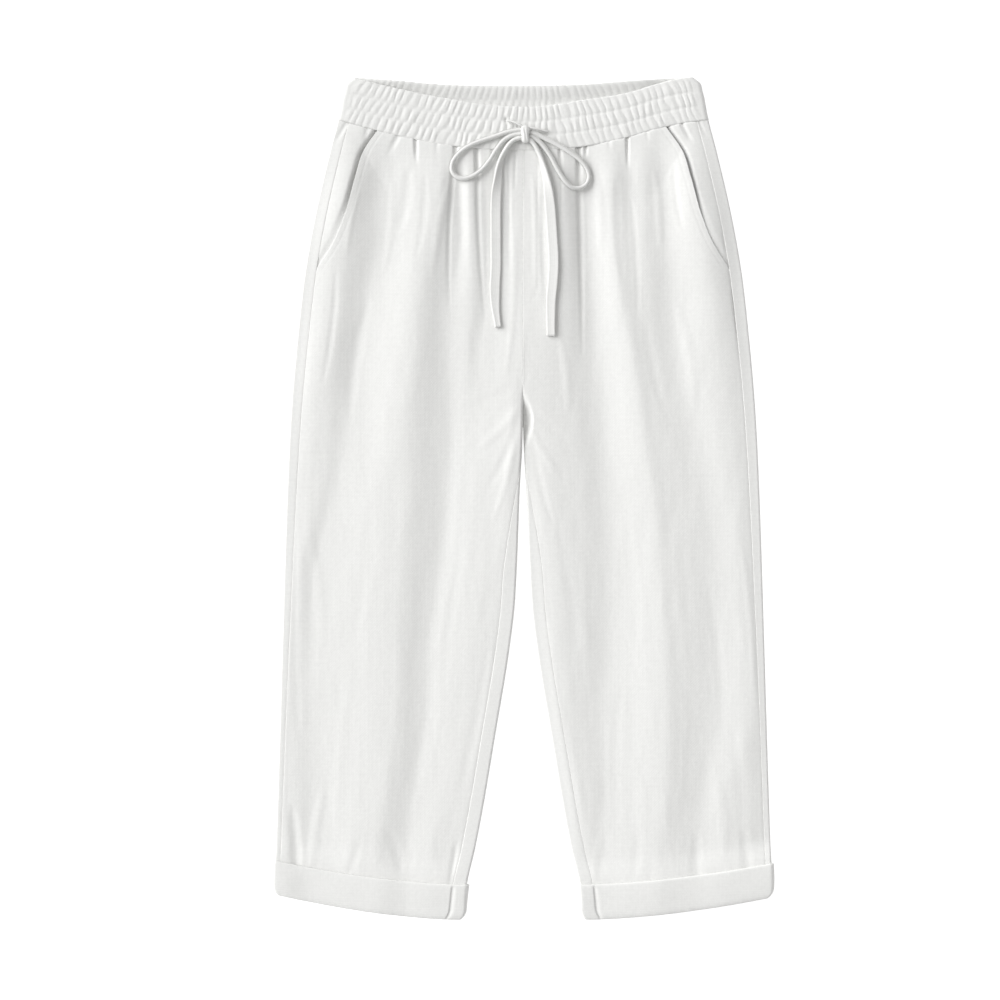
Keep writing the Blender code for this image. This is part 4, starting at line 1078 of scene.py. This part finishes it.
Route = namedtuple("Route", "x down z tilt", defaults=(10.7, 0))  # tilt is 0 on edge and 90 flat
routes = {
    "drawstring_loop_left": [
        Route(-1.6, 52.0), Route(-16.0, 54.7), Route(-29.1, 59.2), Route(-43.2, 63.8), Route(-55.1, 69.3),
        Route(-63.8, 76.4, 10.3), Route(-69.3, 85.1, 10.4), Route(-69.8, 91.6, 10.6),
        Route(-66.0, 97.6, 10.5), Route(-59.5, 99.8, 10.6), Route(-49.7, 97.6, 11.0), Route(-42.1, 92.7),
        Route(-33.4, 82.9, 10.5), Route(-25.7, 70.9), Route(-19.3, 63.0), Route(-10.6, 57.8),
        Route(-1.6, 56.2),
    ],
    "drawstring_loop_right": [
        Route(6.5, 54.6), Route(12.3, 56.4), Route(19.9, 60.1), Route(28.6, 64.4), Route(38.4, 69.8),
        Route(47.1, 75.3, 10.6), Route(55.8, 81.8, 9.9), Route(62.4, 90.5, 8.9), Route(64.5, 98.1, 8.6),
        Route(61.3, 105.7, 8.7), Route(54.7, 109.0, 9.1), Route(48.2, 108.5, 10.2),
        Route(41.7, 103.6, 11.5), Route(36.2, 95.9, 11.5), Route(31.9, 88.3, 11.1),
        Route(27.5, 79.6, 10.8), Route(22.1, 71.4), Route(17.0, 65.2), Route(11.5, 60.6),
        Route(6.5, 58.4),
    ],
    "drawstring_end_left": [
        Route(-1.6, 60.4, 13.5, 5), Route(-8.5, 62.4, 13.5, 10), Route(-14.0, 67.5, 13.4, 18),
        Route(-17.0, 72.3, 13.2, 25), Route(-20.0, 78.0, 12.0, 32), Route(-23.1, 88.0, 11.1, 47),
        Route(-24.6, 101.0, 9.9, 67), Route(-26.2, 115.5, 8.3, 84), Route(-26.6, 130.0, 7.1, 90),
        Route(-26.6, 160.0, 6.7, 90), Route(-26.6, 189.0, 6.7, 90), Route(-27.5, 206.0, 6.8, 90),
        Route(-26.8, 226.0, 7.1, 90), Route(-24.2, 245.2, 7.8, 90),
    ],
    "drawstring_end_right": [
        Route(6.1, 62.0, 13.5, -5), Route(10.0, 65.6, 13.5, -12), Route(13.4, 70.9, 13.4, -20),
        Route(16.0, 76.5, 12.8, -28), Route(18.9, 84.5, 12.4, -38), Route(22.1, 97.0, 12.4, -54),
        Route(24.6, 110.5, 11.6, -72), Route(26.2, 124.0, 10.6, -80), Route(28.4, 152.7, 9.8, -82),
        Route(29.9, 186.0, 9.8, -82), Route(28.9, 201.7, 9.8, -82), Route(27.4, 218.3, 9.6, -83),
        Route(27.2, 236.0, 9.5, -83), Route(27.4, 253.6, 9.4, -83),
    ],
    "drawstring_exit_left": [
        Route(-16.6, 43.5, 9.6), Route(-11.5, 44.3, 10.4), Route(-6.5, 46.2, 11.2),
        Route(-1.2, 48.7, 11.6),
    ],
    "drawstring_exit_right": [
        Route(24.5, 54.2, 9.6), Route(18.5, 52.9, 10.4), Route(12.5, 51.6, 11.2), Route(6.1, 50.9, 11.6),
    ],
}


def evenly(route, step):  # even places on a smooth curve through the route: x, down, z and tilt
    places = np.array(route, float)
    run = np.concatenate([[0.0], np.cumsum(np.linalg.norm(np.diff(places[:, :3], axis=0), axis=1))])
    at = np.linspace(0.0, run[-1], max(int(run[-1] / step), 8) + 1)
    return np.array([through(run, places[:, i], at) for i in range(4)]).T, at


def tapeSection(wide, thick):  # a flat tape with rounded folded edges, a little fuller along both edges
    half, t = wide / 2, thick / 2
    points = []
    for face in (1, -1):
        for k in range(9):
            u = face * (k / 4 - 1)
            points.append((u * (half - t), face * t * (1 - tape["fuller"] * (1 - abs(u) ** 3))))
        for k in range(1, 6):
            a = face * math.pi / 2 - math.pi * k / 6
            points.append((face * (half - t) + t * math.cos(a), t * math.sin(a)))
    return np.array(points)


def tapePiece(name, route, shapeAt, full, step=2.0):
    # sweeps a section along the route; shapeAt(share) gives its width and thickness, and where a tape on
    # edge is narrower than its full width it keeps its lower edge in place
    line, run = evenly(route, step)
    centre = toWorld(line[:, 0], line[:, 1], line[:, 2]) / mm
    forward = np.gradient(centre, axis=0)
    forward /= np.linalg.norm(forward, axis=1, keepdims=True)
    flatSide = np.cross(forward, [0.0, 0.0, 1.0])
    flatSide /= np.linalg.norm(flatSide, axis=1, keepdims=True)
    upright = np.cross(flatSide, forward)
    tilt = np.radians(line[:, 3])[:, None]
    across = upright * np.cos(tilt) + flatSide * np.sin(tilt)
    throughTape = np.cross(forward, across)
    narrower = np.array([full - shapeAt(length / run[-1])[0] for length in run])[:, None]
    centre = centre - upright * np.cos(tilt) * narrower / 2
    last = len(line) - 1
    stations = [(0, 0.55), (0, 0.85)]  # place on the line, and share of the thickness as the ends round off
    stations += [(i, 1.0) for i in range(len(line))]
    stations += [(last, 0.85), (last, 0.55)]
    rings, grains = [], []
    for i, share in stations:
        wide, thick = shapeAt(run[i] / run[-1])
        section = tapeSection(wide, thick) * [1.0 - 0.02 * (1 - share), share]
        shift = (1 - share) * 0.5 * (-1 if i == 0 else 1)
        ring = centre[i] + forward[i] * shift + section[:, :1] * across[i] + section[:, 1:] * throughTape[i]
        rings.append(ring)
        girth = np.linspace(0, 2 * wide, len(section))
        grains.append(np.stack([girth * mm, np.full(len(section), (run[i] + shift) * mm)], axis=-1))
    body = gridBody(name, np.array(rings) * mm, np.array(grains), linenTape, False, True)
    capEnds(body, len(rings), len(rings[0]))
    return body, centre * mm


def capEnds(body, rows, columns):
    shape = bmesh.new()
    shape.from_mesh(body.data)
    shape.verts.ensure_lookup_table()
    for first in (0, (rows - 1) * columns):
        shape.faces.new([shape.verts[first + k] for k in range(columns)])
    bmesh.ops.triangulate(shape, faces=[face for face in shape.faces if len(face.verts) > 4])
    bmesh.ops.recalc_face_normals(shape, faces=shape.faces)
    shape.to_mesh(body.data)
    shape.free()
    body.data.shade_smooth()


knot = {
    "across": 8.6,
    "down": 17.6,
    "high": 7.0,
    "x": 2.25,
    "downAt": 57.0,
    "z": 11.6,
    "wraps": 3,
    "lump": 0.12,
    "boxiness": 0.75,  # 1 is a ball, less is squarer
    "slant": 0.22,
    "lean": 0.08,
    "grain": (0.022, 0.02),  # size in metres of the cloth on it
}


def tieKnot(name):
    bpy.ops.object.select_all(action="DESELECT")
    bpy.ops.mesh.primitive_uv_sphere_add(segments=64, ring_count=48, radius=1.0)
    body = bpy.context.object
    body.name = name
    co = np.empty(len(body.data.vertices) * 3)
    body.data.vertices.foreach_get("co", co)
    co = co.reshape(-1, 3)
    block = np.sign(co) * np.abs(co) ** knot["boxiness"]
    bulges = 1 - knot["lump"] * np.cos(block[:, 1] * 4.2 + 0.5)
    slanted = block[:, 0] * 0.9 + block[:, 1] * knot["slant"]
    wrap = np.abs(np.sin(slanted * math.pi * knot["wraps"] / 2)) - 0.6
    fold = knot["lump"] * wrap * np.abs(block[:, 2])
    x = knot["x"] + (block[:, 0] * bulges - knot["lean"] * block[:, 1]) * knot["across"] / 2
    down = knot["downAt"] - block[:, 1] * knot["down"] / 2
    z = knot["z"] + block[:, 2] * (1 + fold) * knot["high"] / 2
    body.data.vertices.foreach_set("co", toWorld(x, down, z).ravel())
    body.data.shade_smooth()
    layer = body.data.uv_layers.active
    layer.name = "grain"
    uv = np.empty(len(layer.data) * 2)
    layer.data.foreach_get("uv", uv)
    layer.data.foreach_set("uv", (uv.reshape(-1, 2) * knot["grain"]).ravel())
    body.data.materials.append(linenTape)
    return body


knotPiece = tieKnot("drawstring_knot_linen")


def endShape(share, tip):  # opens out from the knot, then narrows and cups at its tip
    opened = ease(share / tape["unfolded"])
    start, narrows, cups = tip
    atTip = ease((share - start) / (1 - start))
    wide = tape["folded"] + (tape["width"] - tape["folded"]) * opened - narrows * atTip
    return wide, tape["thick"] + tape["bunched"] * (1 - opened) + cups * atTip


def leftShape(share):
    return endShape(share, tape["leftTip"])


def rightShape(share):
    return endShape(share, tape["rightTip"])


def loopShape(share):
    return tape["loopWidth"], tape["loopThick"]


def strandShape(share):
    return tape["strand"] * 1.02, tape["strand"]


def standFor(piece, node):
    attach(piece, "root")
    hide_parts(node)


strands = []  # the two short stretches from the casing to the knot, which go with the free ends
for node in ("drawstring_exit_left", "drawstring_exit_right"):
    piece, path = tapePiece(node + "_linen", routes[node], strandShape, tape["strandSolid"])
    standFor(piece, node)
    strands.append(piece)

cordFacts = {  # shape, width, length in metres, far end and the pieces on it
    "drawstring_loop_left": (loopShape, tape["loopThick"], 0.175, "knot", []),
    "drawstring_loop_right": (loopShape, tape["loopThick"], 0.165, "knot", []),
    "drawstring_end_left": (leftShape, tape["width"], 0.196, "bare", [knotPiece, strands[0]]),
    "drawstring_end_right": (rightShape, tape["width"], 0.197, "bare", [strands[1]]),
}
for node, (shapeAt, wide, length, farEnd, pieces) in cordFacts.items():
    full = tape["loopSolid"] if "loop" in node else tape["width"]
    piece, path = tapePiece(node + "_linen", routes[node], shapeAt, full)
    standFor(piece, node)
    print(node, "is", round(float(np.linalg.norm(np.diff(path, axis=0), axis=1).sum()), 4), "m long")
standFor(knotPiece, "drawstring_knot")
print("drawstring tied")


for node, piece in cloth.items():
    standFor(piece, node)
print("pieces named")


studio = {
    "floor": "#F5F5F5",
    "floorSize": 12.0,  # metres
    "floorDrop": 0.3,  # under the cloth, so the two never fight for the same place
    "glow": 0.55,  # the floor is a light table, so shadows on it are faint
    "sky": 0.54,
    "key": 3.75,
    "keyFrom": (-1.0, 0.42, 0.52),
    "keySoftness": 50.0,  # degrees across
}


def floorMaterial():
    # Matt opal acrylic over a light panel: even and pale.
    material = bpy.data.materials.new("opalAcrylic")
    material.use_nodes = True
    tree = material.node_tree
    shader = tree.nodes["Principled BSDF"]
    shader.inputs["Base Color"].default_value = linear(studio["floor"])
    shader.inputs["Roughness"].default_value = 0.95
    shader.inputs["Specular IOR Level"].default_value = 0.1
    shader.inputs["Emission Color"].default_value = (1, 1, 1, 1)
    shader.inputs["Emission Strength"].default_value = studio["glow"]
    return material


def keyLight():
    light = bpy.data.lights.new("keyLight", "SUN")
    light.energy = studio["key"]
    light.angle = math.radians(studio["keySoftness"])
    body = bpy.data.objects.new("keyLight", light)
    body.rotation_euler = Vector(studio["keyFrom"]).to_track_quat("Z", "Y").to_euler()
    bpy.context.scene.collection.objects.link(body)


def buildStudio():
    bpy.ops.object.select_all(action="DESELECT")
    bpy.ops.mesh.primitive_plane_add(size=studio["floorSize"], location=(0, 0, -studio["floorDrop"] * mm))
    floor = bpy.context.object
    floor.name = "floor"
    floor.data.materials.append(floorMaterial())
    keyLight()
    world = bpy.data.worlds.new("studio") if bpy.context.scene.world is None else bpy.context.scene.world
    bpy.context.scene.world = world
    world.use_nodes = True
    background = world.node_tree.nodes["Background"]
    background.inputs[0].default_value = (1, 1, 1, 1)
    background.inputs[1].default_value = studio["sky"]
    bpy.context.scene.view_settings.view_transform = "Standard"


buildStudio()
print("studio lit")
